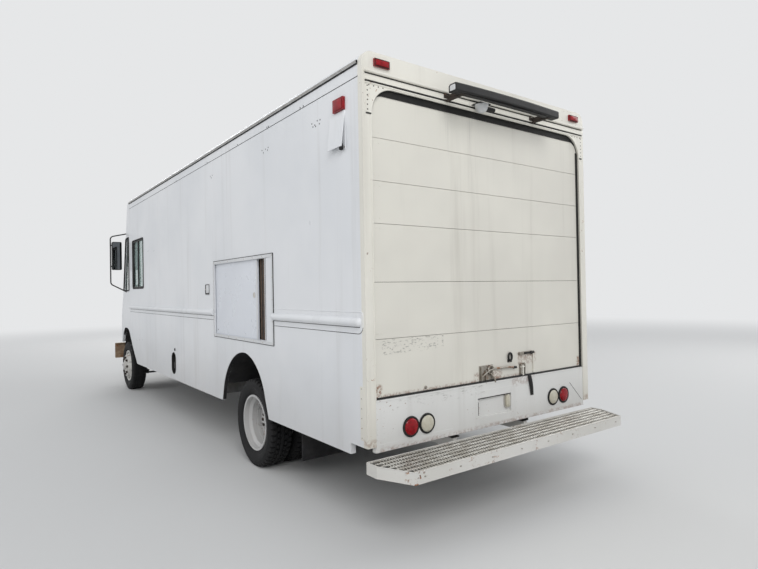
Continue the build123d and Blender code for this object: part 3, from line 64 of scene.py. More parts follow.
# %% Planes of the body
SIDE_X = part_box("side_wall_left")[1].x
REAR_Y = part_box("rear_sill")[1].y + 0.006
NOSE_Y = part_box("side_wall_left")[0].y
ROOF_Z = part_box("rear_frame")[1].z
DOOR_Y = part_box("rear_door")[1].y
SILL_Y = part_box("rear_sill")[1].y
FLOOR_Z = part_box("rear_door")[0].z
AXLE_Z = (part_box("rear_rims_left")[0].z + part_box("rear_rims_left")[1].z) / 2
REAR_AXLE_Y = (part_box("rear_rims_left")[0].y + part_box("rear_rims_left")[1].y) / 2
FRONT_AXLE_Y = (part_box("front_rim_left")[0].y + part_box("front_rim_left")[1].y) / 2
print(f"side {SIDE_X:.3f}, rear {REAR_Y:.3f}, roof {ROOF_Z:.3f}")
print(f"axles {FRONT_AXLE_Y:.3f} and {REAR_AXLE_Y:.3f}")

# %% [markdown]
# The camera stands behind the van's driver's side corner at eye height, as the photographer
# did. Its place, turn and lens come from the van's own straight edges: lines along the body,
# across the rear and up the posts meet at three vanishing points, and those fix the angle
# and the lens. It is turned a little on its own axis because the picture was held so.

# %% Camera
CAMERA_OUT = 2.0039  # beyond the driver's side
CAMERA_BACK = 2.8831  # behind the rear face
CAMERA_HEIGHT = 1.63
CAMERA_YAW, CAMERA_PITCH, CAMERA_ROLL = (math.radians(angle) for angle in (36.267, 0.537, -1.0056))
CAMERA_LENS = 25.905
camera_data = bpy.data.cameras.new("camera")
camera_data.lens = CAMERA_LENS
camera_data.sensor_width = 36
camera_data.clip_end = 200
camera = bpy.data.objects.new("camera", camera_data)
bpy.context.scene.collection.objects.link(camera)
bpy.context.scene.camera = camera
ahead = Vector((-math.sin(CAMERA_YAW) * math.cos(CAMERA_PITCH),
                -math.cos(CAMERA_YAW) * math.cos(CAMERA_PITCH), math.sin(CAMERA_PITCH)))
level = ahead.cross(Vector((0, 0, 1))).normalized()
upright = level.cross(ahead)
right = level * math.cos(CAMERA_ROLL) + upright * math.sin(CAMERA_ROLL)
above = upright * math.cos(CAMERA_ROLL) - level * math.sin(CAMERA_ROLL)
camera.matrix_world = Matrix.Translation((SIDE_X + CAMERA_OUT, REAR_Y + CAMERA_BACK, CAMERA_HEIGHT)) @ Matrix(
    (right, above, -ahead)).transposed().to_4x4()
print("camera at", [round(value, 3) for value in camera.location], "lens", CAMERA_LENS)

# %% [markdown]
# Soft light suits a white van: large lamps far away make broad, gentle steps of tone from
# one flat panel to the next, so that edges and dents still read. One big lamp stands behind
# the camera, one over the rear and one at the curb side, and the world fills the rest. The
# background is white for the camera and for reflections only, so it adds no light.

# %% Lamps and world
LAMPS = (  # name, place, point aimed at, size, power
    ("key_lamp", (6.5, 14.5, 10.0), (0.0, 1.5, 1.2), 9.0, 1150),
    ("side_lamp", (14.0, -2.0, 7.0), (0.0, 0.0, 1.2), 9.0, 330),
    ("curb_lamp", (-12.0, 5.0, 8.0), (0.0, 0.0, 1.0), 9.0, 520),
    ("nose_lamp", (-4.0, -14.0, 8.0), (0.0, -2.0, 1.2), 9.0, 560),
)
for name, place, target, size, power in LAMPS:
    lamp_data = bpy.data.lights.new(name, "AREA")
    lamp_data.shape = "DISK"
    lamp_data.size = size
    lamp_data.energy = power
    lamp = bpy.data.objects.new(name, lamp_data)
    bpy.context.scene.collection.objects.link(lamp)
    lamp.location = place
    lamp.rotation_euler = (Vector(target) - Vector(place)).to_track_quat("-Z", "Y").to_euler()
bpy.context.scene.view_settings.view_transform = "Standard"


def add_node(tree, kind, feeds=None, **settings):
    """Adds a shader node with its settings. Each of its feeds is an output to link, a number, or a colour."""
    node = tree.nodes.new("ShaderNode" + kind)
    for name, value in settings.items():
        setattr(node, name, value)
    feed(tree, node, feeds or {})
    return node


def feed(tree, node, feeds):
    """Links outputs to a node's inputs, or sets the inputs to numbers or colours."""
    for name, value in feeds.items():
        socket = node.inputs[name]
        if isinstance(value, bpy.types.NodeSocket):
            tree.links.new(value, socket)
        elif isinstance(value, (int, float)):
            socket.default_value = value
        else:
            socket.default_value = (*value, 1) if len(socket.default_value) > len(value) else value


BACKGROUND = {"Color": (0.93, 0.94, 0.95), "Strength": 0.85}
world = bpy.data.worlds.new("studio")
bpy.context.scene.world = world
world.use_nodes = True
tree = world.node_tree
tree.nodes.clear()
fill = add_node(tree, "Background", {"Color": (0.92, 0.95, 1.0), "Strength": 0.50})
shown = add_node(tree, "Background", BACKGROUND)
rays = add_node(tree, "LightPath").outputs
seen = add_node(tree, "Math", {0: rays["Is Camera Ray"], 1: rays["Is Glossy Ray"]}, operation="MAXIMUM")
seen = add_node(tree, "Math", {0: seen.outputs[0], 1: rays["Is Transmission Ray"]}, operation="MAXIMUM")
choice = add_node(tree, "MixShader", {0: seen.outputs[0], 1: fill.outputs[0], 2: shown.outputs[0]})
add_node(tree, "OutputWorld", {0: choice.outputs[0]})
print("lamps:", len(LAMPS))

# %% [markdown]
# The floor is one wide pale sheet. Far out it fades into the background's own glow, by the
# distance from the van, so no horizon shows. It belongs to the stage and not to the part.

# %% Floor
FLOOR_REACH = 400
FADE_FROM, FADE_TO = 7, 26
floor_mesh = bpy.data.meshes.new("floor")
floor_corners = [(x * FLOOR_REACH, y * FLOOR_REACH, 0) for x, y in ((-1, -1), (1, -1), (1, 1), (-1, 1))]
floor_mesh.from_pydata(floor_corners, [], [(0, 1, 2, 3)])
floor = bpy.data.objects.new("floor", floor_mesh)
bpy.context.scene.collection.objects.link(floor)
floor_paint = bpy.data.materials.new("pale_floor")
floor_paint.use_nodes = True
tree = floor_paint.node_tree
matte = tree.nodes["Principled BSDF"]
feed(tree, matte, {"Base Color": (0.66, 0.66, 0.65), "Roughness": 0.9})
far_glow = add_node(tree, "Emission", BACKGROUND)
place = add_node(tree, "TexCoord").outputs["Object"]
reach = add_node(tree, "VectorMath", operation="LENGTH")
tree.links.new(place, reach.inputs[0])
fade_feeds = {"Value": reach.outputs["Value"], "From Min": FADE_FROM, "From Max": FADE_TO}
fade = add_node(tree, "MapRange", fade_feeds, interpolation_type="SMOOTHSTEP")
blend = add_node(tree, "MixShader", {0: fade.outputs["Result"], 1: matte.outputs[0], 2: far_glow.outputs[0]})
feed(tree, tree.nodes["Material Output"], {"Surface": blend.outputs[0]})
floor_mesh.materials.append(floor_paint)
print("floor reach", FLOOR_REACH)

# %% [markdown]
# Every finish is a node tree: colours that shift over the surface, dirt where dirt gathers,
# and a little relief. Writing each tree link by link is long, so a small helper class adds
# the nodes and hands back their outputs. Patterns read Object coordinates, which
# are the part's own metres, so that a scale of 10 means ten cells in a metre everywhere.

# %% Node helper
class Finish:
    """One material and short calls for the nodes that the finishes use."""

    def __init__(self, name, roughness=0.5, metallic=0.0):
        self.material = bpy.data.materials.new(name)
        self.material.use_nodes = True
        self.tree = self.material.node_tree
        self.shader = self.tree.nodes["Principled BSDF"]
        self.shade({"Roughness": roughness, "Metallic": metallic})
        self.place = add_node(self.tree, "TexCoord").outputs["Object"]
        self.x, self.y, self.z = add_node(self.tree, "SeparateXYZ", {0: self.place}).outputs

    def shade(self, feeds):
        """Feeds inputs of the shader."""
        feed(self.tree, self.shader, feeds)

    def stretched(self, scale, shift=(0, 0, 0)):
        """The place on the part, scaled along each axis."""
        feeds = {"Vector": self.place, "Scale": scale, "Location": shift}
        return add_node(self.tree, "Mapping", feeds).outputs[0]

    def noise(self, scale, detail=4.0, rough=0.55, stretch=(1, 1, 1), shift=(0, 0, 0)):
        """Cloudy noise from 0 to 1, with a mean near a half."""
        place = self.stretched(stretch, shift)
        feeds = {"Vector": place, "Scale": scale, "Detail": detail, "Roughness": rough}
        return add_node(self.tree, "TexNoise", feeds).outputs["Fac"]

    def cells(self, scale):
        """Distance to the nearest of scattered points, as in flakes and speckles."""
        feeds = {"Vector": self.stretched((1, 1, 1)), "Scale": scale}
        return add_node(self.tree, "TexVoronoi", feeds).outputs["Distance"]

    def ramp(self, value, low, high):
        """0 below low and 1 above high, or the other way round where low is above high."""
        feeds = {"Value": value, "From Min": min(low, high), "From Max": max(low, high),
                 "To Min": float(low >= high), "To Max": float(low < high)}
        return add_node(self.tree, "MapRange", feeds, interpolation_type="SMOOTHSTEP").outputs["Result"]

    def sum(self, operation, first, second):
        """Arithmetic on two values."""
        return add_node(self.tree, "Math", {0: first, 1: second}, operation=operation).outputs[0]

    def mix(self, share, first, second):
        """A colour between two, by a share from 0 to 1."""
        return add_node(self.tree, "Mix", {"Factor": share, 6: first, 7: second}, data_type="RGBA").outputs[2]

    def patch(self, centre, half, soft):
        """1 inside a box round centre, fading to 0 over the soft width outside it."""
        inside = 1.0
        for axis, middle, reach in zip((self.x, self.y, self.z), centre, half):
            away = self.sum("ABSOLUTE", self.sum("SUBTRACT", axis, middle), 0)
            inside = self.sum("MULTIPLY", self.ramp(away, reach + soft, reach), inside)
        return inside

    def relief(self, height, distance, under=None):
        """Bump from a height of 0 to 1 that stands for distance metres."""
        feeds = {"Distance": distance, "Height": height}
        if under is not None:
            feeds["Normal"] = under
        return add_node(self.tree, "Bump", feeds).outputs[0]

    def done(self, colour, roughness=None, normal=None):
        """Links the worked-out inputs of the shader and hands back the material."""
        feeds = {"Base Color": colour, "Roughness": roughness, "Normal": normal}
        self.shade({name: value for name, value in feeds.items() if value is not None})
        return self.material


print("finish helper ready")

# %% [markdown]
# ## Paint
# The body is white enamel on aluminium sheet that has stood outdoors for years. It could be
# one plain colour, but the real paint is cooler here and yellower there, rain has washed dirt
# down it in streaks, a grey film rises from the road, and chips show on the lower edges. The
# sheet itself is never flat: it waves a little between its rivets, which only the gloss
# shows. One function makes every painted surface, with each of these set by its own number.

# %% Worn paint
GRIME = (0.25, 0.22, 0.18)
RUST_DARK = (0.10, 0.035, 0.015)
RUST_LIGHT = (0.36, 0.15, 0.05)
FILM_TOP = 1.25  # height at which the road film is half gone


def rust_colour(sheet):
    """Brown to orange, changing every few millimetres."""
    return sheet.mix(sheet.ramp(sheet.noise(70, 6), 0.35, 0.65), RUST_DARK, RUST_LIGHT)


def worn_paint(name, colour, shade, gloss=0.30, streaks=0.16, film=0.30, chips=0.0, wave=0.010, marks=()):
    """Enamel that turns from colour to shade in clouds. Streaks run down it, a road film fades out upwards,
    chips show bare rust, and marks are pairs of a mask and a colour, laid over the rest."""
    sheet = Finish(name, roughness=gloss)
    tone = sheet.mix(sheet.ramp(sheet.noise(0.9, 3), 0.35, 0.65), colour, shade)
    runs = sheet.ramp(sheet.noise(1.0, 5, 0.6, stretch=(7, 7, 0.35)), 0.52, 0.78)
    tone = sheet.mix(sheet.sum("MULTIPLY", runs, streaks), tone, GRIME)
    height = sheet.sum("ADD", sheet.z, sheet.sum("MULTIPLY", sheet.noise(2.2, 5), 0.5))
    road = sheet.ramp(height, FILM_TOP + 0.25, FILM_TOP - 0.75)
    tone = sheet.mix(sheet.sum("MULTIPLY", road, film), tone, GRIME)
    clusters = sheet.ramp(sheet.noise(3, 3), 0.5, 0.6)
    specks = sheet.sum("MULTIPLY", sheet.ramp(sheet.cells(55), 0.07, 0.03), clusters)
    tone = sheet.mix(sheet.sum("MULTIPLY", specks, 0.45), tone, GRIME)
    if chips:
        flaked = sheet.ramp(sheet.noise(38, 7, 0.65), 0.66 - 0.1 * chips, 0.70 - 0.1 * chips)
        worn = sheet.ramp(sheet.noise(2.6, 4), 0.50, 0.60)
        tone = sheet.mix(sheet.sum("MULTIPLY", flaked, worn), tone, rust_colour(sheet))
    for mask, mark_colour in marks:
        tone = sheet.mix(mask(sheet), tone, mark_colour)
    dull = sheet.sum("ADD", sheet.sum("MULTIPLY", sheet.noise(4, 5), 0.22), gloss - 0.08)
    waves = sheet.relief(sheet.noise(1.3, 1.5), wave)
    return sheet.done(tone, roughness=dull, normal=sheet.relief(sheet.noise(240, 3), 0.00025, waves))


def down_streaks(centre_x, half_width, top_z, length, density):
    """Mask of dark runs on the rear door below a point where water drips."""
    def mask(sheet):
        fall = sheet.ramp(sheet.z, top_z - length, top_z)
        fine = sheet.ramp(sheet.noise(1.0, 6, 0.7, stretch=(60, 1, 1.6), shift=(centre_x, 0, 0)), 0.50, 0.72)
        band = sheet.patch((centre_x, 0, top_z), (half_width, 9, length), 0.02)
        return sheet.sum("MULTIPLY", sheet.sum("MULTIPLY", fine, band), sheet.sum("MULTIPLY", fall, density))
    return mask


def scuffs(centre, half, density, grain=90):
    """Mask of a blotchy patch where the paint was scraped."""
    def mask(sheet):
        blots = sheet.ramp(sheet.noise(grain, 7, 0.7, stretch=(0.35, 1, 1)), 0.52, 0.64)
        return sheet.sum("MULTIPLY", sheet.sum("MULTIPLY", blots, sheet.patch(centre, half, 0.012)), density)
    return mask


def rust_spot(centre, half, density=0.9):
    """Mask of rust that creeps out from a corner or a screw."""
    def mask(sheet):
        creep = sheet.ramp(sheet.noise(45, 6, 0.7), 0.40, 0.62)
        return sheet.sum("MULTIPLY", sheet.sum("MULTIPLY", creep, sheet.patch(centre, half, 0.03)), density)
    return mask


print("paint makers ready")

# %% [markdown]
# Marks are laid where the photograph shows wear: water runs down the rear door from three
# points, scraping left blots, and rust creeps along the door's foot and out of its
# corners. The paints are rows of a table, and a row names only what differs from the enamel
# of the body.

# %% Marks and paints
DOOR_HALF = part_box("rear_door")[1].x
GREY_MARK = (0.24, 0.23, 0.21)
RUST_MARK = (0.20, 0.075, 0.03)
door_marks = [
    (down_streaks(0.20, 0.03, 2.92, 0.85, 0.75), GREY_MARK),
    (down_streaks(0.10, 0.02, 2.90, 0.40, 0.55), GREY_MARK),
    (down_streaks(0.47, 0.05, 2.92, 0.50, 0.30), GREY_MARK),
    (scuffs((0.80, DOOR_Y, 1.248), (0.27, 0.2, 0.046), 0.75), GREY_MARK),
    (rust_spot((DOOR_HALF - 0.03, DOOR_Y, FLOOR_Z + 0.03), (0.02, 0.1, 0.05)), RUST_MARK),
    (rust_spot((-DOOR_HALF + 0.03, DOOR_Y, FLOOR_Z + 0.03), (0.02, 0.1, 0.05)), RUST_MARK),
    (rust_spot((0.06, DOOR_Y, 0.95), (0.14, 0.1, 0.02), 0.6), RUST_MARK),
    (rust_spot((-0.40, DOOR_Y, 1.05), (0.10, 0.1, 0.03), 0.55), RUST_MARK),
    (rust_spot((0.40, DOOR_Y, FLOOR_Z), (0.75, 0.1, 0.012), 0.8), RUST_MARK),
]
sill_marks = [
    (scuffs((0.55, SILL_Y, 0.86), (0.42, 0.2, 0.03), 0.5, 30), GREY_MARK),
    (rust_spot((0.0, SILL_Y, 0.565), (1.1, 0.1, 0.008), 0.5), RUST_MARK),
    (rust_spot((-0.33, SILL_Y, 0.88), (0.12, 0.1, 0.02), 0.4), RUST_MARK),
]
post_marks = [
    (rust_spot((side * (SIDE_X - 0.03), REAR_Y, 0.62), (0.04, 0.1, 0.02), 0.5), RUST_MARK) for side in (1, -1)
]
PAINTS = {  # name: colour, shade, what differs from the body's enamel
    # body_white's faint blue cast is painted shade: the cool tint of the sides in skylit shade.
    "body_white": ((0.755, 0.765, 0.78), (0.70, 0.715, 0.735), {}),
    "trim_white": ((0.66, 0.67, 0.68), (0.58, 0.59, 0.60), dict(gloss=0.36, wave=0.002)),
    "post_cream": ((0.76, 0.74, 0.67), (0.70, 0.68, 0.61), dict(chips=0.25, wave=0.003, marks=post_marks)),
    "sill_white": ((0.74, 0.74, 0.72), (0.68, 0.68, 0.66), dict(film=0.22, chips=0.25, marks=sill_marks)),
    "door_cream": ((0.71, 0.69, 0.62), (0.64, 0.62, 0.56),
                   dict(gloss=0.42, streaks=0.22, film=0.10, marks=door_marks)),
    # panel_white's stronger blue cast is painted shade of the same kind.
    "panel_white": ((0.70, 0.725, 0.77), (0.65, 0.675, 0.72),
                    dict(gloss=0.26, streaks=0.06, film=0.05, wave=0.006)),
    "step_white": ((0.70, 0.69, 0.66), (0.62, 0.61, 0.57),
                   dict(gloss=0.45, film=0.18, chips=1.0, wave=0.002)),
    "rim_white": ((0.72, 0.72, 0.70), (0.62, 0.61, 0.58), dict(gloss=0.35, film=0.16, chips=0.6, wave=0.001)),
    "rim_grey": ((0.60, 0.60, 0.60), (0.50, 0.50, 0.50), dict(gloss=0.38, film=0.22, chips=0.5, wave=0.001)),
}
paints = {name: worn_paint(name, colour, shade, **rest) for name, (colour, shade, rest) in PAINTS.items()}
print("paints:", ", ".join(paints))

# %% [markdown]
# ## Bare metals
# The step's grip plate, the latch, the bumper and everything under the body are bare or
# barely painted metal. Bright metal needs fine scratches that stretch its highlights; old
# steel needs rust that sits in clouds; chassis paint needs the dust that covers it. They are
# one recipe again: a metal, a second tone in clouds, and rust where it is asked for.

# %% Worn metal
DUST = (0.30, 0.27, 0.23)


def worn_metal(name, colour, shade, gloss, metallic=1.0, rust=0.0, dust=0.0, brushed=(1, 1, 1), grain=0.0006):
    """Metal or thin black paint: two tones in clouds, brushed along an axis, with rust and dust by share."""
    sheet = Finish(name, roughness=gloss, metallic=metallic)
    sheet.shade({"Specular IOR Level": 0.3})
    tone = sheet.mix(sheet.ramp(sheet.noise(14, 6), 0.35, 0.65), colour, shade)
    rusted = sheet.ramp(sheet.noise(9, 7, 0.65), 0.78 - 0.45 * rust, 0.88 - 0.45 * rust)
    if rust:
        tone = sheet.mix(rusted, tone, rust_colour(sheet))
        if metallic > 0.5:
            sheet.shade({"Metallic": sheet.ramp(rusted, 1.0, 0.0)})
    if dust:
        settled = sheet.ramp(sheet.noise(5, 6, 0.6), 0.30, 0.75)
        tone = sheet.mix(sheet.sum("MULTIPLY", settled, dust), tone, DUST)
    lines = sheet.noise(60, 5, 0.6, stretch=brushed)
    dull = sheet.sum("ADD", sheet.sum("MULTIPLY", lines, 0.25), gloss - 0.1)
    return sheet.done(tone, roughness=dull, normal=sheet.relief(lines, grain))


METALS = {  # name: colour, shade, gloss, what differs from bright metal
    "tread_aluminium": ((0.66, 0.65, 0.62), (0.50, 0.48, 0.44), 0.42, dict(rust=0.12, dust=0.25)),
    "floor_aluminium": ((0.42, 0.42, 0.41), (0.30, 0.29, 0.28), 0.5, dict(dust=0.3)),
    "tank_aluminium": ((0.34, 0.34, 0.35), (0.24, 0.24, 0.24), 0.5, dict(dust=0.4, brushed=(12, 0.5, 12))),
    "latch_steel": ((0.46, 0.44, 0.40), (0.30, 0.27, 0.23), 0.45, dict(rust=0.52, dust=0.15)),
    "exhaust_steel": ((0.22, 0.18, 0.15), (0.14, 0.11, 0.09), 0.6, dict(rust=0.7, dust=0.2)),
}
COVERED = {  # the same for steel under thin paint, rust or dirt, which isn't metallic
    "bumper_steel": ((0.40, 0.30, 0.20), (0.22, 0.14, 0.085), 0.62, dict(rust=0.50, dust=0.15)),
    "chassis_black": ((0.016, 0.016, 0.017), (0.010, 0.010, 0.010), 0.5, dict(rust=0.12, dust=0.06)),
    "engine_iron": ((0.085, 0.085, 0.09), (0.05, 0.048, 0.045), 0.55, dict(rust=0.2, dust=0.15)),
    "underbody": ((0.016, 0.016, 0.018), (0.010, 0.010, 0.011), 0.75, dict(dust=0.06, grain=0.002)),
    "bar_black": ((0.013, 0.013, 0.014), (0.009, 0.009, 0.009), 0.42, dict(rust=0.12, dust=0.03)),
    "rusty_black": ((0.045, 0.032, 0.025), (0.024, 0.018, 0.015), 0.6, dict(rust=0.30, dust=0.05)),
    # dark_board is painted shade: the board behind the hatch's gap.
    "dark_board": ((0.050, 0.040, 0.032), (0.026, 0.021, 0.018), 0.7, dict(brushed=(14, 14, 0.6))),
}
metals = {name: worn_metal(name, *tones, **rest) for name, (*tones, rest) in METALS.items()}
for name, (*tones, rest) in COVERED.items():
    metals[name] = worn_metal(name, *tones, metallic=0.0, **rest)
print("metals:", ", ".join(metals))

# %% [markdown]
# ## Rubber, plastic, vinyl
# Black rubber and moulded plastic are told apart by their grain and sheen. Plastic has an
# even pebble grain, rubber is duller and greys with age, a tyre carries dust in bands, and
# the seat's vinyl has fine creases. Small cells make the pebbles and noise makes the dust.

# %% Soft and moulded surfaces
def moulded(name, colour, dusty, gloss, pebble=420, depth=0.0003, dust=0.10):
    """Plastic or rubber: a pebble grain of small cells with dust in clouds."""
    sheet = Finish(name, roughness=gloss)
    sheet.shade({"Specular IOR Level": 0.25})
    clouds = sheet.ramp(sheet.noise(6, 6, 0.6), 0.35, 0.75)
    tone = sheet.mix(sheet.sum("MULTIPLY", clouds, dust), colour, dusty)
    dull = sheet.sum("ADD", sheet.sum("MULTIPLY", clouds, 0.18), gloss - 0.05)
    return sheet.done(tone, roughness=dull, normal=sheet.relief(sheet.cells(pebble), depth))


MOULDS = {  # name: colour, dusty colour, gloss, what differs from plain moulded plastic
    "rubber": ((0.010, 0.010, 0.010), DUST, 0.62, dict(pebble=700, depth=0.0002, dust=0.04)),
    "tyre": ((0.010, 0.010, 0.011), (0.12, 0.11, 0.095), 0.72, dict(pebble=300, depth=0.0004, dust=0.07)),
    "grille_grey": ((0.08, 0.08, 0.085), DUST, 0.5, dict(dust=0.15)),
    "mirror_black": ((0.010, 0.010, 0.011), DUST, 0.42, dict(dust=0.03)),
    "dash_grey": ((0.10, 0.10, 0.11), DUST, 0.55, dict(pebble=350, depth=0.0005, dust=0.12)),
    "wheel_plastic": ((0.022, 0.022, 0.022), DUST, 0.48, dict(pebble=500, dust=0.05)),
    "seat_vinyl": ((0.045, 0.045, 0.052), (0.12, 0.12, 0.12), 0.46, dict(pebble=260, depth=0.0006, dust=0.2)),
}
moulds = {name: moulded(name, *tones, **rest) for name, (*tones, rest) in MOULDS.items()}
print("moulded finishes:", ", ".join(moulds))

# %% [markdown]
# ## Lenses and glass
# A lamp lens is coloured plastic that light enters and leaves again, over a bright bowl, so
# it is brighter than paint of its colour. The clear ones have turned yellowish. Window glass
# is thin and slightly green. The mirrors are silvered, but their glass is made dark as a
# painted dark reflection. Transmission suits glass that shows what is behind it, and for
# lenses a little of it with a smooth coat is enough.

# %% Lenses and glass
def lens(name, colour, deep, clear, gloss=0.12):
    """Lens plastic: light passes into it by the share clear, over a fine prism relief."""
    sheet = Finish(name, roughness=gloss)
    sheet.shade({"Transmission Weight": clear, "Specular IOR Level": 0.25})
    sheet.shade({"Coat Weight": 0.12, "Coat Roughness": 0.08})
    tone = sheet.mix(sheet.ramp(sheet.noise(25, 4), 0.3, 0.7), colour, deep)
    return sheet.done(tone, normal=sheet.relief(sheet.cells(230), 0.0006))


def pane(name, colour, clear, metallic=0.0, gloss=0.03):
    """Glass or mirror glass, with a faint film of dust that dulls its gloss in clouds."""
    sheet = Finish(name, roughness=gloss, metallic=metallic)
    sheet.shade({"Transmission Weight": clear, "IOR": 1.45})
    film = sheet.ramp(sheet.noise(7, 6), 0.40, 0.80)
    tone = sheet.mix(sheet.sum("MULTIPLY", film, 0.10), colour, (0.55, 0.54, 0.50))
    return sheet.done(tone, roughness=sheet.sum("ADD", sheet.sum("MULTIPLY", film, 0.10), gloss))


glasses = {
    "red_lens": lens("red_lens", (0.33, 0.002, 0.008), (0.20, 0.001, 0.005), 0.04),
    "clear_lens": lens("clear_lens", (0.72, 0.69, 0.58), (0.62, 0.58, 0.46), 0.25),
    "amber_lens": lens("amber_lens", (0.85, 0.28, 0.02), (0.68, 0.18, 0.01), 0.2),
    "glass": pane("glass", (0.62, 0.72, 0.70), 0.92),
}
# Painted reflection: the mirror glass is dark, not silver.
mirror_glass = pane("mirror_glass", (0.14, 0.15, 0.16), 0.0, metallic=1.0)
FINISHES = {**paints, **metals, **moulds, **glasses}

# %% [markdown]
# The part's record names a finish for each node. Going through that list dresses every solid
# in one loop, and none is missed.

# %% Dress the solids
slots = {row["node"]: row["material_slot"] for row in frame["record"]["subparts"]}
for node, solid in frame["nodes"].items():
    solid.data.materials.clear()
    solid.data.materials.append(FINISHES[slots[node]])
print("dressed", len(slots), "nodes in", len(set(slots.values())), "finishes")

# %% [markdown]
# ## Shapes from arrays
# Everything added from here on is a surface worked out as an array of points. A grid of
# points becomes quads between neighbours; a grid that wraps closes on itself, as round a
# tube. Where a whole row falls on one point the surface closes in a pole, and the doubled
# points there are merged when the mesh is made. Loops over points would be slow and hard to
# read, so each shape is one formula over the whole grid.

# %% Grids and copies
def grid_shape(points, wrap=True):
    """Quads between the neighbours of a rows by columns grid; with wrap, the last column joins the first."""
    rows, columns = points.shape[:2]
    row, column = np.meshgrid(np.arange(rows - 1), np.arange(columns - (not wrap)), indexing="ij")
    low, high = row * columns, (row + 1) * columns
    after = (column + 1) % columns
    corners = [low + column, low + after, high + after, high + column]
    return points.reshape(-1, 3), np.stack(corners, -1).reshape(-1, 4)


def joined(*shapes):
    """Several shapes as one."""
    starts = np.cumsum([0] + [len(points) for points, _ in shapes[:-1]])
    return (np.concatenate([points for points, _ in shapes]),
            np.concatenate([quads + start for (_, quads), start in zip(shapes, starts)]))


def repeated(shape, places):
    """The shape copied to each of the places."""
    points, quads = shape
    places = np.asarray(places, float)
    shifts = np.arange(len(places))[:, None, None] * len(points)
    return (points[None] + places[:, None]).reshape(-1, 3), (quads[None] + shifts).reshape(-1, 4)


def facing(shape, axis):
    """The shape, made facing +Z, turned to face along an axis: its own X stays level."""
    x, y, z = shape[0].T
    turned = {"+Z": (x, y, z), "-Z": (x, -y, -z), "+X": (z, x, y), "-X": (-z, -x, y), "+Y": (-x, z, y),
              "-Y": (x, -z, y)}
    return np.stack(turned[axis], -1), shape[1]


def set_at(shape, axis, *places):
    """The shape, made facing +Z, turned to face along an axis and copied to the places."""
    return repeated(facing(shape, axis), places)


def mirrored(shape):
    """The shape and its mirror image on the curb side."""
    return joined(shape, (shape[0] * (-1, 1, 1), shape[1][:, ::-1]))


print("faces of a 3 by 4 grid that wraps:", len(grid_shape(np.zeros((3, 4, 3)))[1]))

# %% [markdown]
# A round piece, such as a rivet or a nut, is a profile carried round an axis. A rail is an
# outline carried straight, a cord or a bead is a circle carried along a path, and an odd form
# is a row of closed outlines one behind another. Each of them ends in a pole.

# %% Lathe, bar, tube and outlines along a path
def lathe(profile, sides=32):
    """Profile rows of (radius, height) carried round Z: x = r cos t, y = r sin t, z = h."""
    radius, height = np.array(profile, float).T[:, :, None]
    turn = np.linspace(0, 2 * np.pi, sides, endpoint=False)[None]
    return grid_shape(np.stack(np.broadcast_arrays(radius * np.cos(turn), radius * np.sin(turn), height), -1))


def carried(rings):
    """Closed outlines one behind another along a path, with both ends closed at their middles."""
    ends = [np.repeat(rings[end].mean(0)[None, None], rings.shape[1], 1) for end in (0, -1)]
    return grid_shape(np.concatenate([ends[0], rings, ends[1]]))


def bar(profile, start, end, across, up):
    """A closed outline of (across, up) points carried straight from start to end."""
    profile = np.array(profile, float)
    outline = profile[:, :1] * np.array(across, float) + profile[:, 1:] * np.array(up, float)
    return carried(np.stack([np.array(start) + outline, np.array(end) + outline]))


def tube(path, radius, sides=10):
    """A circle carried along a path, square to it at each point. Its ends are closed, or meet if the path is
    a loop. The circle's axes are the path's direction crossed with the fixed line that it follows least."""
    path = np.array(path, float)
    ahead = np.gradient(path, axis=0)
    loop = np.allclose(path[0], path[-1])
    if loop:
        ahead[0] = ahead[-1] = path[1] - path[-2]
    ahead /= np.linalg.norm(ahead, axis=1, keepdims=True)
    fixed = np.eye(3)[np.argmin(np.abs(ahead).max(0))]
    first = np.cross(ahead, fixed)
    first /= np.linalg.norm(first, axis=1, keepdims=True)
    second = np.cross(ahead, first)
    turn = np.linspace(0, 2 * np.pi, sides, endpoint=False)[None, :, None]
    rings = path[:, None] + radius * (np.cos(turn) * first[:, None] + np.sin(turn) * second[:, None])
    if loop:
        return grid_shape(rings)
    ends = [np.repeat(path[end][None, None], sides, 1) for end in (0, -1)]
    return grid_shape(np.concatenate([ends[0], rings, ends[1]]))


print("points of a rivet's head:", len(lathe(((0.005, 0), (0.004, 0.001), (0, 0.002)), 7)[0]))

# %% [markdown]
# Trim is mostly thin slabs: boxes where it is square, and a plate over a round-cornered
# outline where it is moulded. A plate's top may rise to its middle. Strips sit a millimetre
# deep in the face that carries them, so that no gap shows round their edges.

# %% Boxes, outlines and plates
BOX_FOOT = [[0, 0, 0], [1, 0, 0], [1, 1, 0], [0, 1, 0]]
BOX_CORNERS = np.array(BOX_FOOT + [[x, y, 1] for x, y, _ in BOX_FOOT])
BOX_QUADS = np.array([[0, 3, 2, 1], [4, 5, 6, 7], [0, 1, 5, 4], [1, 2, 6, 5], [2, 3, 7, 6], [3, 0, 4, 7]])
SEAT = 0.001  # how deep a strip sits in its face


def boxes(*rows):
    """One box for each row of (low x, high x, low y, high y, low z, high z)."""
    rows = np.array(rows, float)
    low, high = rows[:, 0::2], rows[:, 1::2]
    points = low[:, None] + BOX_CORNERS[None] * (high - low)[:, None]
    quads = BOX_QUADS[None] + 8 * np.arange(len(rows))[:, None, None]
    return points.reshape(-1, 3), quads.reshape(-1, 4)


def side_boxes(*rows):
    """Boxes on the driver's side: rows as for boxes, with x counted outwards from the side."""
    return boxes(*(np.array(rows, float) + (SIDE_X, SIDE_X, 0, 0, 0, 0)))


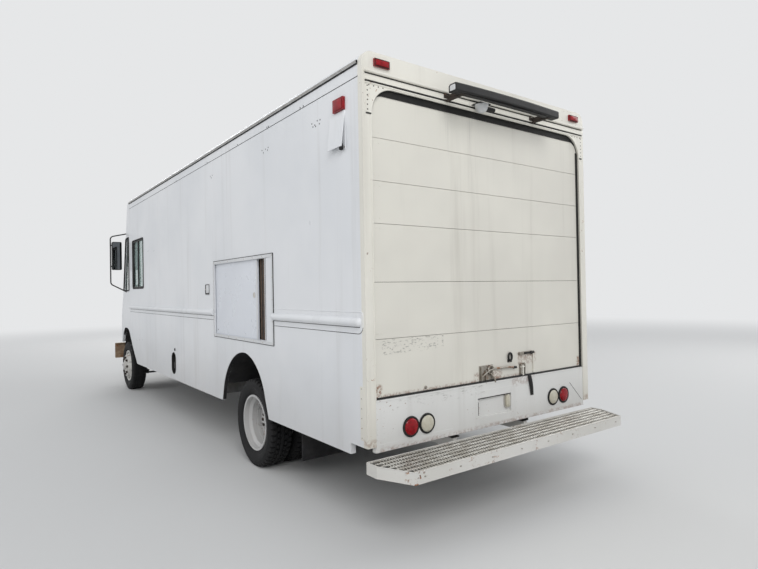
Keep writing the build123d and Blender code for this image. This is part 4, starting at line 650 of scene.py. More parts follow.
def rear_boxes(face_y, *rows):
    """Boxes on a face that looks to the rear: rows as for boxes, with y counted outwards from the face."""
    return boxes(*(np.array(rows, float) + (0, 0, face_y, face_y, 0, 0)))


def arc(centre, radius, start, end, steps):
    """Points on a circle between two angles in degrees: centre plus radius times (cos t, sin t)."""
    turn = np.radians(np.linspace(start, end, steps))
    return np.array(centre) + radius * np.stack([np.cos(turn), np.sin(turn)], -1)


def round_outline(width, height, radius, steps=5):
    """Outline of a centred rectangle whose four corners are quarter circles."""
    centre = np.array([width / 2 - radius, height / 2 - radius])
    corners = enumerate(((1, 1), (-1, 1), (-1, -1), (1, -1)))
    return np.concatenate([arc(centre * corner, radius, 90 * quarter, 90 * quarter + 90, steps)
                           for quarter, corner in corners])


def looped(outline, height=0.0):
    """A closed path from an outline, at a height."""
    outline = np.concatenate([outline, outline[:1]])
    return np.column_stack([outline, np.full(len(outline), height)])


def plate(outline, thickness, dome=0.0):
    """A slab over a closed outline, facing +Z, whose top rises by dome to its middle."""
    outline = np.array(outline, float)
    middle = outline.mean(0)
    rows = [(0.0, 0.0), (1.0, 0.0), (1.0, thickness), (0.7, thickness + dome * 0.51),
            (0.35, thickness + dome * 0.88), (0.0, thickness + dome)]
    rings = [np.column_stack([middle + (outline - middle) * share, np.full(len(outline), height)])
             for share, height in rows]
    return grid_shape(np.stack(rings))


print("faces of a box:", len(boxes((0, 1, 0, 1, 0, 1))[1]))

# %% [markdown]
# Every shape becomes a piece by the same steps: its doubled points are merged, its faces are
# pointed outwards, it gets its finish, and it rides the body of the van that carries it. A
# small live bevel softens edges that catch the light. Rivets are the most common piece, so
# each is only a cap of a few faces.

# %% Put a piece on the van
def put(name, shape, finish, body="root", soften=0.0, crease=38):
    """Makes a piece of the van from a shape and rides it on a body. With soften its edges get a small
    rounding, and edges sharper than the crease angle stay sharp in the shading."""
    points, quads = shape
    mesh = bpy.data.meshes.new(name)
    mesh.from_pydata(points.tolist(), [], quads.tolist())
    solid = bmesh.new()
    solid.from_mesh(mesh)
    bmesh.ops.remove_doubles(solid, verts=solid.verts, dist=1e-5)
    bmesh.ops.recalc_face_normals(solid, faces=solid.faces)
    solid.to_mesh(mesh)
    solid.free()
    mesh.polygons.foreach_set("use_smooth", np.ones(len(mesh.polygons), bool))
    mesh.set_sharp_from_angle(angle=math.radians(crease))
    mesh.materials.append(finish if isinstance(finish, bpy.types.Material) else FINISHES[finish])
    piece = bpy.data.objects.new(name, mesh)
    bpy.context.scene.collection.objects.link(piece)
    if soften:
        rounding = piece.modifiers.new("rounding", "BEVEL")
        rounding.width = soften
        rounding.segments = 2
        rounding.limit_method = "ANGLE"
        rounding.angle_limit = math.radians(40)
    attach(piece, body)
    print(f"{name}: {len(mesh.polygons)} faces")
    return piece


RIVET = lathe(((0.0050, 0.0), (0.0042, 0.0012), (0.0, 0.0018)), 7)


def rivet_line(start, end, pitch, axis):
    """Rivets at an even pitch from start to end, heads facing along an axis."""
    start, end = np.array(start, float), np.array(end, float)
    count = max(2, int(round(np.linalg.norm(end - start) / pitch)) + 1)
    return set_at(RIVET, axis, *(start + np.linspace(0, 1, count)[:, None] * (end - start)))


print("faces of a rivet:", len(RIVET[1]))

# %% [markdown]
# ## The sides
# Each side is flat sheet riveted to posts behind it. A lap runs just under the roof, where a
# narrow upper sheet overlaps the tall one, and over it the grey drip rail stands out from the
# roof's corner. Dark strips under the lap's edge and under the drip rail are painted shade.
# Thin boxes a millimetre or two thick are enough for laps, because their edges catch the light
# as the real ones do.

# %% Side laps, drip rails and rivets
LAP_Z = 3.029
RAIL_LOW_Z, RAIL_HEIGHT, RAIL_OUT = 3.110, 0.022, 0.0135
SHEET = 0.0016
SIDE_BACK_Y = REAR_Y - 0.045
SIDE_RUN = (NOSE_Y + 0.002, SIDE_BACK_Y)


def side_rivets(start, end, pitch, lift=0.0):
    """Rivets on the driver's side from one (y, z) point to another."""
    return rivet_line((SIDE_X + lift, *start), (SIDE_X + lift, *end), pitch, "+X")


put("side_lap_sheets", mirrored(side_boxes((-SEAT, SHEET, *SIDE_RUN, LAP_Z, RAIL_LOW_Z))), "body_white")
# Painted shade: a dark strip under the lap's edge.
put("lap_sealer", mirrored(side_boxes((-SEAT, 0.0012, *SIDE_RUN, LAP_Z - 0.0045, LAP_Z))), "rubber")
rail_outline = ((0, 0), (RAIL_OUT * 0.8, 0.002), (RAIL_OUT, 0.006), (RAIL_OUT, 0.017),
                (RAIL_OUT * 0.8, RAIL_HEIGHT), (0, RAIL_HEIGHT))
rail_ends = [(SIDE_X, y, RAIL_LOW_Z) for y in (NOSE_Y, SIDE_BACK_Y)]
put("drip_rails", mirrored(bar(rail_outline, *rail_ends, (1, 0, 0), (0, 0, 1))), metals["floor_aluminium"])
# Painted shade: a dark strip under the drip rail.
rail_painted_shade = side_boxes((-SEAT, 0.006, *SIDE_RUN, RAIL_LOW_Z - 0.007, RAIL_LOW_Z))
put("drip_rail_sealer", mirrored(rail_painted_shade), "rubber")

post_y = SIDE_BACK_Y - 0.018
rivets = [side_rivets((NOSE_Y + 0.06, z), (SIDE_BACK_Y - 0.03, z), 0.15, SHEET)
          for z in (LAP_Z + 0.016, 3.088)]
rivets += [side_rivets((y, low_z), (y, high_z), pitch) for y, low_z, high_z, pitch in (
    (post_y, 0.66, 1.33, 0.075), (post_y, 1.50, 3.00, 0.075), (NOSE_Y + 0.03, 0.60, 3.00, 0.10))]
put("side_rivets", mirrored(joined(*rivets)), "body_white")

# %% [markdown]
# Where old fittings came off, small screw holes stay in the paint. Each is a shallow dark disc
# with a rim of lifted paint. A few black marks along the lap are screws that hold the wiring
# behind it.

# %% Old screw holes
HOLES = (  # behind the rear face (less than nothing is ahead of it) and height
    (-0.655, 2.868), (-0.640, 2.842), (-0.612, 2.848), (-0.600, 2.836), (-0.575, 2.872), (-0.545, 2.842),
    (-0.535, 2.868), (-1.540, 2.862), (-1.512, 2.836), (-1.470, 2.858), (-1.430, 2.842), (-1.415, 2.862),
    (-2.860, 2.870), (-2.830, 2.850), (-2.800, 2.872), (-5.560, 2.255), (-5.220, 2.233), (-6.330, 0.903),
    (-6.160, 0.915), (-5.960, 0.927),
)


def hole_marks(places, radius=0.006):
    """Dark dimples that stand half a millimetre proud, facing +X."""
    dimple = lathe(((radius, 0.0), (radius, 0.0006), (radius * 0.6, 0.0004), (0, 0.0003)), 8)
    return set_at(dimple, "+X", *places)


put("old_screw_holes", hole_marks([(SIDE_X, REAR_Y + behind, z) for behind, z in HOLES]), "rubber")
lap_screws = [(SIDE_X + SHEET, REAR_Y + behind, LAP_Z + 0.008)
              for behind in (-0.83, -0.78, -1.43, -1.40, -2.09, -2.95, -4.1)]
put("lap_screws", hole_marks(lap_screws, 0.007), "rubber")

# %% [markdown]
# The belt moulding is a hollow half-round rub rail. Its rear end is closed by a quarter
# ball, and the sheet it sits on has a folded edge below it that turns up round the end in a
# curve. The moulding is a half circle carried along the side: near the end its radius
# shrinks as the root of 1 minus the share squared, which draws the ball. It replaces the
# solid's square-ended rail.

# %% Belt mouldings
belt_low, belt_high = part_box("belt_mouldings")
BELT_Z = (belt_low.z + belt_high.z) / 2
BELT_HALF = (belt_high.z - belt_low.z) / 2
BELT_OUT = 0.030
BELT_FRONT_Y, BELT_BACK_Y = belt_low.y, belt_high.y
HATCH_LOW, HATCH_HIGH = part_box("hatch_frame")
DOOR_LOW, DOOR_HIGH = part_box("curb_door")


def belt(from_y, to_y, round_start, round_end):
    """Half circles along Y, whose size falls as sqrt(1 - s^2) over the last BELT_HALF of a round end."""
    near_end = np.linspace(0, BELT_HALF, 9)
    y = np.concatenate([from_y + near_end, to_y - near_end[::-1]])
    size = np.ones_like(y)
    for is_round, away in ((round_start, y - from_y), (round_end, to_y - y)):
        if is_round:
            size = np.minimum(size, np.sqrt(1 - np.clip(1 - away / BELT_HALF, 0, 1) ** 2))
    turn = np.linspace(-np.pi / 2, np.pi / 2, 15)[None]
    out = size[:, None] * BELT_OUT * np.cos(turn)
    rise = size[:, None] * BELT_HALF * np.sin(turn)
    rail = np.stack(np.broadcast_arrays(SIDE_X + out, y[:, None], BELT_Z + rise), -1)
    if not round_end:
        rail = np.concatenate([rail, np.broadcast_to([SIDE_X, to_y, BELT_Z], (1, 15, 3))])
    if not round_start:
        rail = np.concatenate([np.broadcast_to([SIDE_X, from_y, BELT_Z], (1, 15, 3)), rail])
    return grid_shape(rail)


rear_belt = belt(HATCH_HIGH.y, BELT_BACK_Y, False, True)
front_belt = belt(BELT_FRONT_Y, HATCH_LOW.y, True, False)
curb_points, curb_quads = belt(DOOR_HIGH.y - 0.02, BELT_BACK_Y, True, True)
curb_belt = (curb_points * (-1, 1, 1), curb_quads[:, ::-1])
belts = put("belt_rails", joined(rear_belt, front_belt, curb_belt), "body_white")
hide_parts("belt_mouldings")

# %% [markdown]
# The sheet's folded edge runs below each moulding and turns up round its rear end. Dark
# strips under the fold and under the moulding are painted shade, and rivets hold both.

# %% Belt folds, painted shade and rivets
FOLD_LOW_Z, FOLD_HIGH_Z = 1.346, 1.485
FOLD_END_Y = REAR_Y - 0.030
LOW_BEND, HIGH_BEND = 0.055, 0.020


def fold_line(from_y):
    """The folded edge round a belt's rear end: along below it, up in a quarter circle, and back above it."""
    low = arc((FOLD_END_Y - LOW_BEND, FOLD_LOW_Z + LOW_BEND), LOW_BEND, -90, 0, 8)
    high = arc((FOLD_END_Y - HIGH_BEND, FOLD_HIGH_Z - HIGH_BEND), HIGH_BEND, 0, 90, 8)
    line = np.concatenate([[(from_y, FOLD_LOW_Z)], low, high, [(from_y, FOLD_HIGH_Z)]])
    return np.column_stack([np.full(len(line), SIDE_X), line])


front_fold = np.array([(SIDE_X, BELT_FRONT_Y, FOLD_LOW_Z), (SIDE_X, HATCH_LOW.y, FOLD_LOW_Z)])
fold_lines = [fold_line(HATCH_HIGH.y), front_fold, fold_line(DOOR_HIGH.y) * (-1, 1, 1)]
put("belt_folds", joined(*[tube(line, 0.0032, 6) for line in fold_lines]), "body_white")
# Painted shade: dark cords under the folds and dark strips under the mouldings.
fold_shades = [tube(line[:9] - (0, 0, 0.0045), 0.0020, 6) for line in fold_lines]
shade_z = (BELT_Z - BELT_HALF - 0.0035, BELT_Z - BELT_HALF + 0.003)
ridge_shades = mirrored(side_boxes((-SEAT, 0.0025, HATCH_HIGH.y + 0.004, BELT_BACK_Y - 0.02, *shade_z),
                                   (-SEAT, 0.0025, BELT_FRONT_Y + 0.02, HATCH_LOW.y - 0.004, *shade_z)))
put("belt_sealer", joined(ridge_shades, *fold_shades), "rubber")
belt_rivets = joined(side_rivets((HATCH_HIGH.y + 0.05, 1.468), (BELT_BACK_Y, 1.468), 0.05),
                     side_rivets((BELT_FRONT_Y, 1.352), (HATCH_LOW.y - 0.05, 1.352), 0.10))
put("belt_rivets", belt_rivets, "body_white")

# %% [markdown]
# ## The serving hatch
# The hatch panel slides forward inside the wall. Its free edge is a channel, and the gap
# beside it shows the inside, with a dark board behind it as painted shade. The frame round it
# is a flat trim in a rubber gasket, held by pan-head screws. Channel, pull and one screw ride
# on the panel.

# %% Hatch dressing
PANEL_LOW, PANEL_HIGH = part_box("hatch_panel")
GAP_LOW_Z, GAP_HIGH_Z = 1.200, 1.925  # the hatch's opening
TRIM_INSET = 0.014
edge_y = PANEL_HIGH.y


def frame_bead(y_ends, z_ends, x, radius):
    """Straight beads along the four edges of a rectangle on the side."""
    (low_y, high_y), (low_z, high_z) = y_ends, z_ends
    corners = [(x, low_y, low_z), (x, high_y, low_z), (x, high_y, high_z), (x, low_y, high_z)]
    return joined(*[tube([start, end], radius, 8) for start, end in zip(corners, corners[1:] + corners[:1])])


put("hatch_panel_channel", boxes((PANEL_HIGH.x, PANEL_HIGH.x + 0.002, edge_y - 0.030, edge_y - 0.001,
                                  PANEL_LOW.z + 0.022, PANEL_HIGH.z - 0.016)),
    paints["trim_white"], "hatch_panel", soften=0.0006)
pull = lathe(((0.026, 0), (0.026, 0.0016), (0.021, 0.0022), (0.017, 0.0006), (0, 0.0004)), 20)
put("hatch_panel_pull", set_at(pull, "+X", (PANEL_HIGH.x, edge_y - 0.075, 1.60)), metals["tread_aluminium"],
    "hatch_panel")
put("hatch_trim_bead", frame_bead((1.134, 2.389), (GAP_LOW_Z, GAP_HIGH_Z), HATCH_HIGH.x - 0.001, 0.003),
    "trim_white")
gasket = frame_bead((HATCH_LOW.y, HATCH_HIGH.y), (HATCH_LOW.z, HATCH_HIGH.z), SIDE_X + 0.001, 0.0055)
put("hatch_gasket", gasket, "rubber")
# Painted shade: a dark board behind the hatch's gap.
board = (PANEL_LOW.x - 0.016, PANEL_LOW.x - 0.010, HATCH_HIGH.y - 0.430, HATCH_HIGH.y - 0.120,
         GAP_LOW_Z - 0.015, GAP_HIGH_Z + 0.015)
put("hatch_gap_board", boxes(board), metals["dark_board"])
screw = lathe(((0.0065, 0), (0.0060, 0.0016), (0.0035, 0.0026), (0, 0.0027)), 10)
frame_y = np.linspace(HATCH_LOW.y + TRIM_INSET, HATCH_HIGH.y - TRIM_INSET, 8)
frame_z = np.linspace(HATCH_LOW.z + TRIM_INSET, HATCH_HIGH.z - TRIM_INSET, 5)
hatch_screws = [(HATCH_HIGH.x, y, z) for y in frame_y for z in frame_z[[0, -1]]]
hatch_screws += [(HATCH_HIGH.x, y, z) for z in frame_z[1:-1] for y in frame_y[[0, -1]]]
put("hatch_screws", set_at(screw, "+X", *hatch_screws), metals["tread_aluminium"])
panel_screw = (PANEL_HIGH.x, HATCH_LOW.y + 0.075, HATCH_LOW.z + 0.070)
put("hatch_panel_screw", set_at(screw, "+X", panel_screw), metals["rusty_black"], "hatch_panel")

# %% [markdown]
# A paddle latch, its lock and a vent button sit on the same side. The paddle is a dished
# plate with a lever in it, so three rounded plates of falling size lie one on another. The
# black middle plate, which shows ahead of and below the paddle, is painted shade in the dish.

# %% Paddle latch and vent
LATCH_PLACE = (SIDE_X, REAR_Y - 2.999, 1.664)


def latch_pad(width, height, corner_radius, thickness, dome, shift):
    """One pad of the latch, facing +X, shifted from its middle along x, y and z."""
    pad = plate(round_outline(width, height, corner_radius), thickness, dome)
    return set_at(pad, "+X", np.array(LATCH_PLACE) + shift)


put("side_latch_plate", latch_pad(0.158, 0.128, 0.020, 0.003, 0, (0, 0, 0)), "trim_white", soften=0.0012)
# Painted shade: the black dish, offset so that it shows ahead of and below the paddle.
put("side_latch_dish", latch_pad(0.132, 0.110, 0.016, 0.0012, 0, (0.003, 0, 0)), metals["chassis_black"])
put("side_latch_paddle", latch_pad(0.078, 0.086, 0.012, 0.007, 0.004, (0.003, 0.018, 0.004)), "trim_white",
    soften=0.0015)
lock = lathe(((0.011, 0), (0.011, 0.010), (0.009, 0.0115), (0.0, 0.0115)), 16)
put("side_lock_cylinder", set_at(lock, "+X", np.array(LATCH_PLACE) + (0.002, -0.044, 0)),
    metals["tread_aluminium"])
vent = lathe(((0.019, 0), (0.019, 0.004), (0.015, 0.007), (0.008, 0.006), (0, 0.0065)), 20)
put("side_vent_button", set_at(vent, "+X", (SIDE_X, REAR_Y - 4.257, 0.914)), metals["chassis_black"])

# %% [markdown]
# The fuel filler is a round-ended pocket with a black lining and a cap on a short neck. Its
# lining is a wall between two outlines, closed at the back by a plate.

# %% Fuel filler
FILLER = np.array([SIDE_X, REAR_AXLE_Y - 2.355, 0.737])
FILLER_SIZE, FILLER_CORNER = np.array([0.164, 0.268]), 0.080
CUP_DEEP, CUP_LIP = -0.0305, 0.0005
lining = tube(looped(round_outline(*FILLER_SIZE, FILLER_CORNER, 9)), 0.005, 8)
put("filler_lining", set_at(lining, "+X", FILLER + (0.001, 0, 0)), "rubber")
inner, outer = [round_outline(*(FILLER_SIZE - 2 * inset), FILLER_CORNER - inset, 9)
                for inset in (0.0065, 0.0045)]
cup_rows = ((inner, CUP_DEEP), (inner, CUP_LIP), (outer, CUP_LIP), (outer, CUP_DEEP), (inner, CUP_DEEP))
cup_rings = [np.column_stack([outline, np.full(36, depth)]) for outline, depth in cup_rows]
cup_wall = grid_shape(np.stack(cup_rings))
cup_back = repeated(plate(inner, 0.001), [(0, 0, CUP_DEEP - 0.001)])
put("filler_cup_lining", set_at(joined(cup_wall, cup_back), "+X", FILLER), "rubber")
cap = lathe(((0.040, -0.002), (0.046, 0.002), (0.048, 0.006), (0.048, 0.015), (0.044, 0.019), (0.018, 0.0195),
             (0.014, 0.025), (0, 0.025)), 28)
put("filler_cap", set_at(cap, "+X", FILLER + (-0.031, 0, -0.030)), metals["chassis_black"], soften=0.001)

# %% [markdown]
# ## The rear header
# Over the door the rear frame is folded from sheet: a rain gutter, then two lips below it.
# Riveted gusset plates round off the opening's upper corners, and a rolled bead runs all
# round the opening. The gusset is a strip between the opening's quarter circle and a square
# corner: one side of the strip is an arc, the other runs up and along.

# %% Header lips and gussets
OPENING_HALF, OPENING_TOP_Z, OPENING_CORNER = 1.150, 2.970, 0.185
CORNER_CENTRE = (OPENING_HALF - OPENING_CORNER, OPENING_TOP_Z - OPENING_CORNER)
HEADER_HALF = 1.196
HEADER_RUN = (-HEADER_HALF, HEADER_HALF)
lips = joined(rear_boxes(REAR_Y, (*HEADER_RUN, -SEAT, 0.011, 2.9965, 3.004)),
              tube([(x, REAR_Y + 0.002, 2.979) for x in HEADER_RUN], 0.006, 10),
              rear_boxes(REAR_Y, (-HEADER_HALF - 0.01, HEADER_HALF + 0.01, 0.014, 0.019, 3.050, 3.064)))
put("header_lips", lips, "post_cream", soften=0.0012)
# Painted shade: dark strips under the gutter and under the upper lip.
shades = rear_boxes(REAR_Y, (*HEADER_RUN, -SEAT, 0.0015, 3.0385, 3.0475),
                    (*HEADER_RUN, -SEAT, 0.005, 2.987, 2.996))
put("header_gutter_shade", shades, metals["underbody"])

gusset_in = arc(CORNER_CENTRE, OPENING_CORNER + 0.003, 90, 0, 15)
corner_x, corner_z = HEADER_HALF - 0.006, 2.991
up_first = np.minimum(gusset_in[:, 0] + np.linspace(0, 0.13, 15), corner_x)
down_side = np.minimum(gusset_in[:, 1] + np.linspace(0.13, 0, 15), corner_z)
before_corner, at_corner = np.arange(15) < 8, np.arange(15) == 7
gusset_out = np.column_stack([np.where(before_corner & ~at_corner, up_first, corner_x),
                              np.where(before_corner, corner_z, down_side)])
gusset_edges = ((gusset_in, -SEAT), (gusset_out, -SEAT), (gusset_out, 0.003), (gusset_in, 0.003))
gusset_rings = [np.column_stack([side[:, 0], np.full(15, REAR_Y + out), side[:, 1]])
                for side, out in gusset_edges]
put("header_gussets", mirrored(carried(np.stack(gusset_rings, 1))), "post_cream", soften=0.0008)
rivet_y = REAR_Y + 0.003
gusset_rivets = joined(rivet_line((1.050, rivet_y, 2.966), (1.165, rivet_y, 2.966), 0.036, "+Y"),
                       rivet_line((1.178, rivet_y, 2.960), (1.178, rivet_y, 2.805), 0.030, "+Y"))
put("gusset_rivets", mirrored(gusset_rivets), metals["rusty_black"])
# Painted shade: a dark strip under each gusset's foot.
feet = rear_boxes(REAR_Y, (1.150, 1.1905, -SEAT, 0.0045, 2.7760, 2.7850))
put("gusset_feet", mirrored(feet), metals["underbody"])

# %% [markdown]
# A gate shape goes up one side of an opening, over its two round corners and down the other
# side. The rolled bead is a tube along such a line. Rivets hold the posts and the header.

# %% Opening bead and rivets
def gate_line(half, top_z, corner, low_z, y, steps):
    """Points up one side of a gate shape, over its quarter-circle corners and down the other side."""
    right = arc((half - corner, top_z - corner), corner, 0, 90, steps)
    line = np.concatenate([[(half, low_z)], right, right[::-1] * (-1, 1), [(-half, low_z)]])
    return np.column_stack([line[:, 0], np.full(len(line), y), line[:, 1]])


bead = gate_line(OPENING_HALF, OPENING_TOP_Z, OPENING_CORNER, FLOOR_Z, REAR_Y - 0.001, 15)
put("opening_bead", tube(bead, 0.005, 8), "post_cream")
post_rivets = rivet_line((HEADER_HALF + 0.008, REAR_Y, 0.66), (HEADER_HALF + 0.008, REAR_Y, 2.76), 0.15, "+Y")
header_rivets = rivet_line((-HEADER_HALF, REAR_Y, 3.018), (HEADER_HALF, REAR_Y, 3.018), 0.16, "+Y")
put("rear_rivets", joined(mirrored(post_rivets), header_rivets), "post_cream")

# %% [markdown]
# The roller door runs in black seals. The strip on the curb side is drawn wider, and a black
# filler closes the gap above the door: both are painted shade in the gaps round the door. A
# rusty strip closes its foot. Screws hold its rollers near each edge.

# %% Door seals and foot
DOOR_TOP_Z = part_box("rear_door")[1].z
SEAL_Z = (FLOOR_Z + 0.014, DOOR_TOP_Z - 0.10)
PANEL_TOPS = (1.303, 1.681, 2.070, 2.353, 2.638)
# Painted shade: the wide curb-side strip and the black filler above the door.
seals = rear_boxes(DOOR_Y, (-OPENING_HALF + 0.0005, -OPENING_HALF + 0.026, -0.002, 0.007, *SEAL_Z),
                   (OPENING_HALF - 0.009, OPENING_HALF - 0.0005, -0.002, 0.005, *SEAL_Z),
                   (-OPENING_HALF + 0.10, OPENING_HALF - 0.10, -0.030, -0.004, DOOR_TOP_Z,
                    OPENING_TOP_Z - 0.004))
put("door_seals", seals, "rubber", soften=0.002)
foot = (-OPENING_HALF + 0.001, OPENING_HALF - 0.001, -0.002, 0.010, FLOOR_Z + 0.001, FLOOR_Z + 0.014)
put("door_foot_strip", rear_boxes(DOOR_Y, foot), metals["chassis_black"], soften=0.002)
door_screws = [(side * (OPENING_HALF - inset), DOOR_Y, top + rise) for inset in (0.040, 0.075)
               for top in PANEL_TOPS for rise in (-0.035, 0.035) for side in (-1, 1)]
put("door_screws", set_at(RIVET, "+Y", *door_screws), "door_cream")

# %% [markdown]
# ## The latch and the hasp
# The roller door locks at its foot with a lever on a pressed bracket, and a sliding bolt
# stands beside it. Both are bent from strip and rust where the plating wore off. Each is
# built from the strips and pins it is made of: a backing plate with two cheeks, a ring on a
# pin, a bail that hooks the sill, and the lever. They replace the solid's plain blocks.

# %% Door latch and hasp
LATCH_Y = DOOR_Y + 0.0005
LATCH_PLATES = (  # backing plates, cheeks and the bolt's guides: x, out from the latch's plane, z
    (0.010, 0.165, -0.002, 0.003, 0.920, 1.035), (0.148, 0.155, 0, 0.018, 0.920, 1.030),
    (0.098, 0.104, 0, 0.016, 0.922, 0.998), (0.098, 0.155, 0, 0.005, 0.935, 0.960),
    (-0.371, -0.299, -0.002, 0.003, 0.921, 1.015), (-0.363, -0.352, 0, 0.018, 0.925, 1.008),
    (-0.318, -0.307, 0, 0.018, 0.925, 1.008), (-0.490, -0.290, -0.002, 0.004, 1.078, 1.104),
    (-0.350, -0.296, 0, 0.014, 1.080, 1.102),
)


def latch_bar(radius, sides, *points):
    """A round bar through points of (x, out from the latch's plane, z)."""
    return tube(np.array(points) + (0, LATCH_Y, 0), radius, sides)


def oval(x, out, z, half_width, half_height, steps):
    """Points of a closed oval: x plus half width times cos t, and z plus half height times sin t."""
    turn = np.linspace(0, 2 * np.pi, steps)
    return np.stack([x + half_width * np.cos(turn), np.full(steps, out), z + half_height * np.sin(turn)], -1)


latch = put("latch_plates", rear_boxes(LATCH_Y, *LATCH_PLATES), "latch_steel", soften=0.0015)
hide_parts("door_latch")
ring = latch_bar(0.0055, 10, *oval(0.045, 0.013, 0.998, 0.029, 0.031, 25))
bail = latch_bar(0.0065, 10, (0.058, 0.015, 0.975), (0.030, 0.017, 0.945), (0.010, 0.019, 0.920),
                 (0.004, 0.018, 0.898))
lever = latch_bar(0.0075, 12, (0.150, 0.012, 0.948), (0.060, 0.014, 0.995), (0.000, 0.016, 1.003),
                  (-0.070, 0.018, 1.002), (-0.150, 0.020, 0.999), (-0.215, 0.021, 0.993))
put("latch_lever", joined(ring, bail, lever), metals["latch_steel"])

# %% [markdown]
# The lever ends in a black grip, and a pull loop hangs from a plate above it. The hasp beside
# the latch is a rod that slides in guides. Bolts with six sides hold all of it to the door.

# %% Grips, hasp and bolts
pull_loop = latch_bar(0.008, 10, *oval(-0.181, 0.012, 1.077, 0.020, 0.030, 21))
lever_end = latch_bar(0.010, 12, (-0.205, 0.021, 0.992), (-0.240, 0.021, 0.991))
grip_plates = rear_boxes(LATCH_Y, (-0.208, -0.160, -0.002, 0.006, 1.034, 1.056),
                         (-0.482, -0.360, 0.004, 0.015, 1.084, 1.099))
button = lathe(((0.014, 0), (0.014, 0.008), (0.009, 0.012), (0, 0.012)), 16)
button = set_at(button, "+Y", (-0.440, LATCH_Y + 0.010, 1.092))
put("latch_grips", joined(pull_loop, lever_end, grip_plates, button), metals["chassis_black"], soften=0.001)
rod = joined(latch_bar(0.0055, 12, (-0.474, 0.008, 1.086), (-0.474, 0.008, 0.935)),
             rear_boxes(LATCH_Y, (-0.484, -0.464, -0.002, 0.015, 0.930, 0.946)),
             latch_bar(0.006, 10, (-0.366, 0.012, 0.985), (-0.304, 0.012, 0.985)),
             latch_bar(0.007, 10, (-0.335, 0.012, 1.000), (-0.335, 0.012, 0.915)))
put("hasp_rod", rod, "post_cream", soften=0.0012)
bolt = facing(lathe(((0.0075, 0), (0.0075, 0.004), (0.004, 0.0055), (0, 0.0055)), 6), "+Y")
latch_bolts = [(x, LATCH_Y + 0.002, z) for x, z in (
    (0.160, 0.930), (0.160, 1.024), (0.080, 1.028), (0.022, 0.930), (-0.300, 1.010), (-0.368, 0.928),
    (-0.484, 1.091), (-0.296, 1.098), (-0.181, 1.040))]
put("latch_bolts", repeated(bolt, latch_bolts), metals["latch_steel"])

# %% [markdown]
# ## The sill
# The sill under the door carries the lamps and the plate recess. A thin cover with a folded
# edge frames the recess, and more folds run along the foot and the upper edge. Each is a
# thin box on the sill's face.

# %% Sill cover and rivets
FACE = 0.0016
SILL_HALF = OPENING_HALF - 0.004
sill_cover = rear_boxes(
    SILL_Y, (0.198, 0.224, -SEAT, FACE, 0.580, 0.850), (-0.256, -0.176, -SEAT, FACE, 0.580, 0.850),
    (-0.176, 0.198, -SEAT, FACE, 0.795, 0.850), (-0.176, 0.198, -SEAT, FACE, 0.580, 0.647),
    (-SILL_HALF, 0.470, -SEAT, FACE, 0.566, 0.576), (0.470, SILL_HALF, -SEAT, FACE, 0.566, 0.616),
    (-SILL_HALF, SILL_HALF, -SEAT, 0.003, 0.893, 0.9045))
put("sill_cover", sill_cover, "sill_white", soften=0.0008)
sill_rivets = [rivet_line((x, SILL_Y, 0.650), (x, SILL_Y, 0.854), 0.034, "+Y") for x in (1.080, 1.136)]
sill_rivets += [rivet_line((x, SILL_Y + FACE, z), (x + 0.001, SILL_Y + FACE, z), 1, "+Y")
                for x in (0.211, -0.244) for z in (0.592, 0.720, 0.840)]
top_ends = [(side * (OPENING_HALF - 0.04), SILL_Y, 0.880) for side in (-1, 1)]
put("sill_rivets", joined(*sill_rivets, rivet_line(*top_ends, 0.16, "+Y")), "sill_white")
slit_line = [(x, SILL_Y - 0.0005, z) for x, z in ((-0.951, 0.787), (-1.040, 0.700), (-1.124, 0.618))]
# Painted shade: dark strips along the plate recess's upper edge and its driver's-side edge.
recess_shade = rear_boxes(SILL_Y, (-0.175, 0.197, -0.003, 0.0008, 0.788, 0.794),
                          (0.192, 0.1975, -0.003, 0.0008, 0.665, 0.765))
put("sill_slits", joined(tube(slit_line, 0.0022, 6), recess_shade), "rubber")
knob = lathe(((0.010, 0), (0.012, 0.006), (0.009, 0.011), (0, 0.012)), 12)
put("sill_knob", set_at(knob, "+Y", (0.705, DOOR_Y, 0.940)), metals["latch_steel"])

# %% [markdown]
# A pill-shaped lamp in the recess lights the plate. A webbing strap hangs over the sill's
# upper edge, to pull the door down by. It is one thin sheet, a grid that runs down and
# across, drifts to one side, narrows a little and bulges away from the sill.

# %% Plate lamp and pull strap
RECESS_Y = SILL_Y - 0.018
LAMP_X, PLATE_LAMP_Z = -0.141, 0.735
lamp_base = plate(round_outline(0.066, 0.122, 0.032, 9), 0.012)
lamp_glass = plate(round_outline(0.048, 0.100, 0.023, 9), 0.010, 0.008)
put("plate_lamp_base", set_at(lamp_base, "+Y", (LAMP_X, RECESS_Y, PLATE_LAMP_Z)), metals["tread_aluminium"],
    soften=0.0015)
put("plate_lamp_glass", set_at(lamp_glass, "+Y", (LAMP_X, RECESS_Y + 0.011, PLATE_LAMP_Z)), "clear_lens")
put("plate_lamp_tab", rear_boxes(RECESS_Y, (-0.186, -0.176, 0, 0.012, 0.715, 0.748)), "rubber", soften=0.001)

down = np.linspace(0, 1, 18)[:, None]
across = np.linspace(-0.5, 0.5, 7)[None]
bulge = 0.007 * np.sin(np.pi * np.clip(down * 1.1, 0, 1))
strap_x = -0.400 - 0.034 * down + 0.044 * across * (1 - 0.15 * down)
strap_y = SILL_Y + 0.004 + bulge + 0.003 * np.cos(3 * across) * (1 - down)
strap_z = 0.912 - 0.168 * down + 0 * across
strap = put("pull_strap", grid_shape(np.stack([strap_x, strap_y, strap_z], -1), wrap=False), "rubber")
weave = strap.modifiers.new("thickness", "SOLIDIFY")
weave.thickness = 0.0024
weave.offset = 0

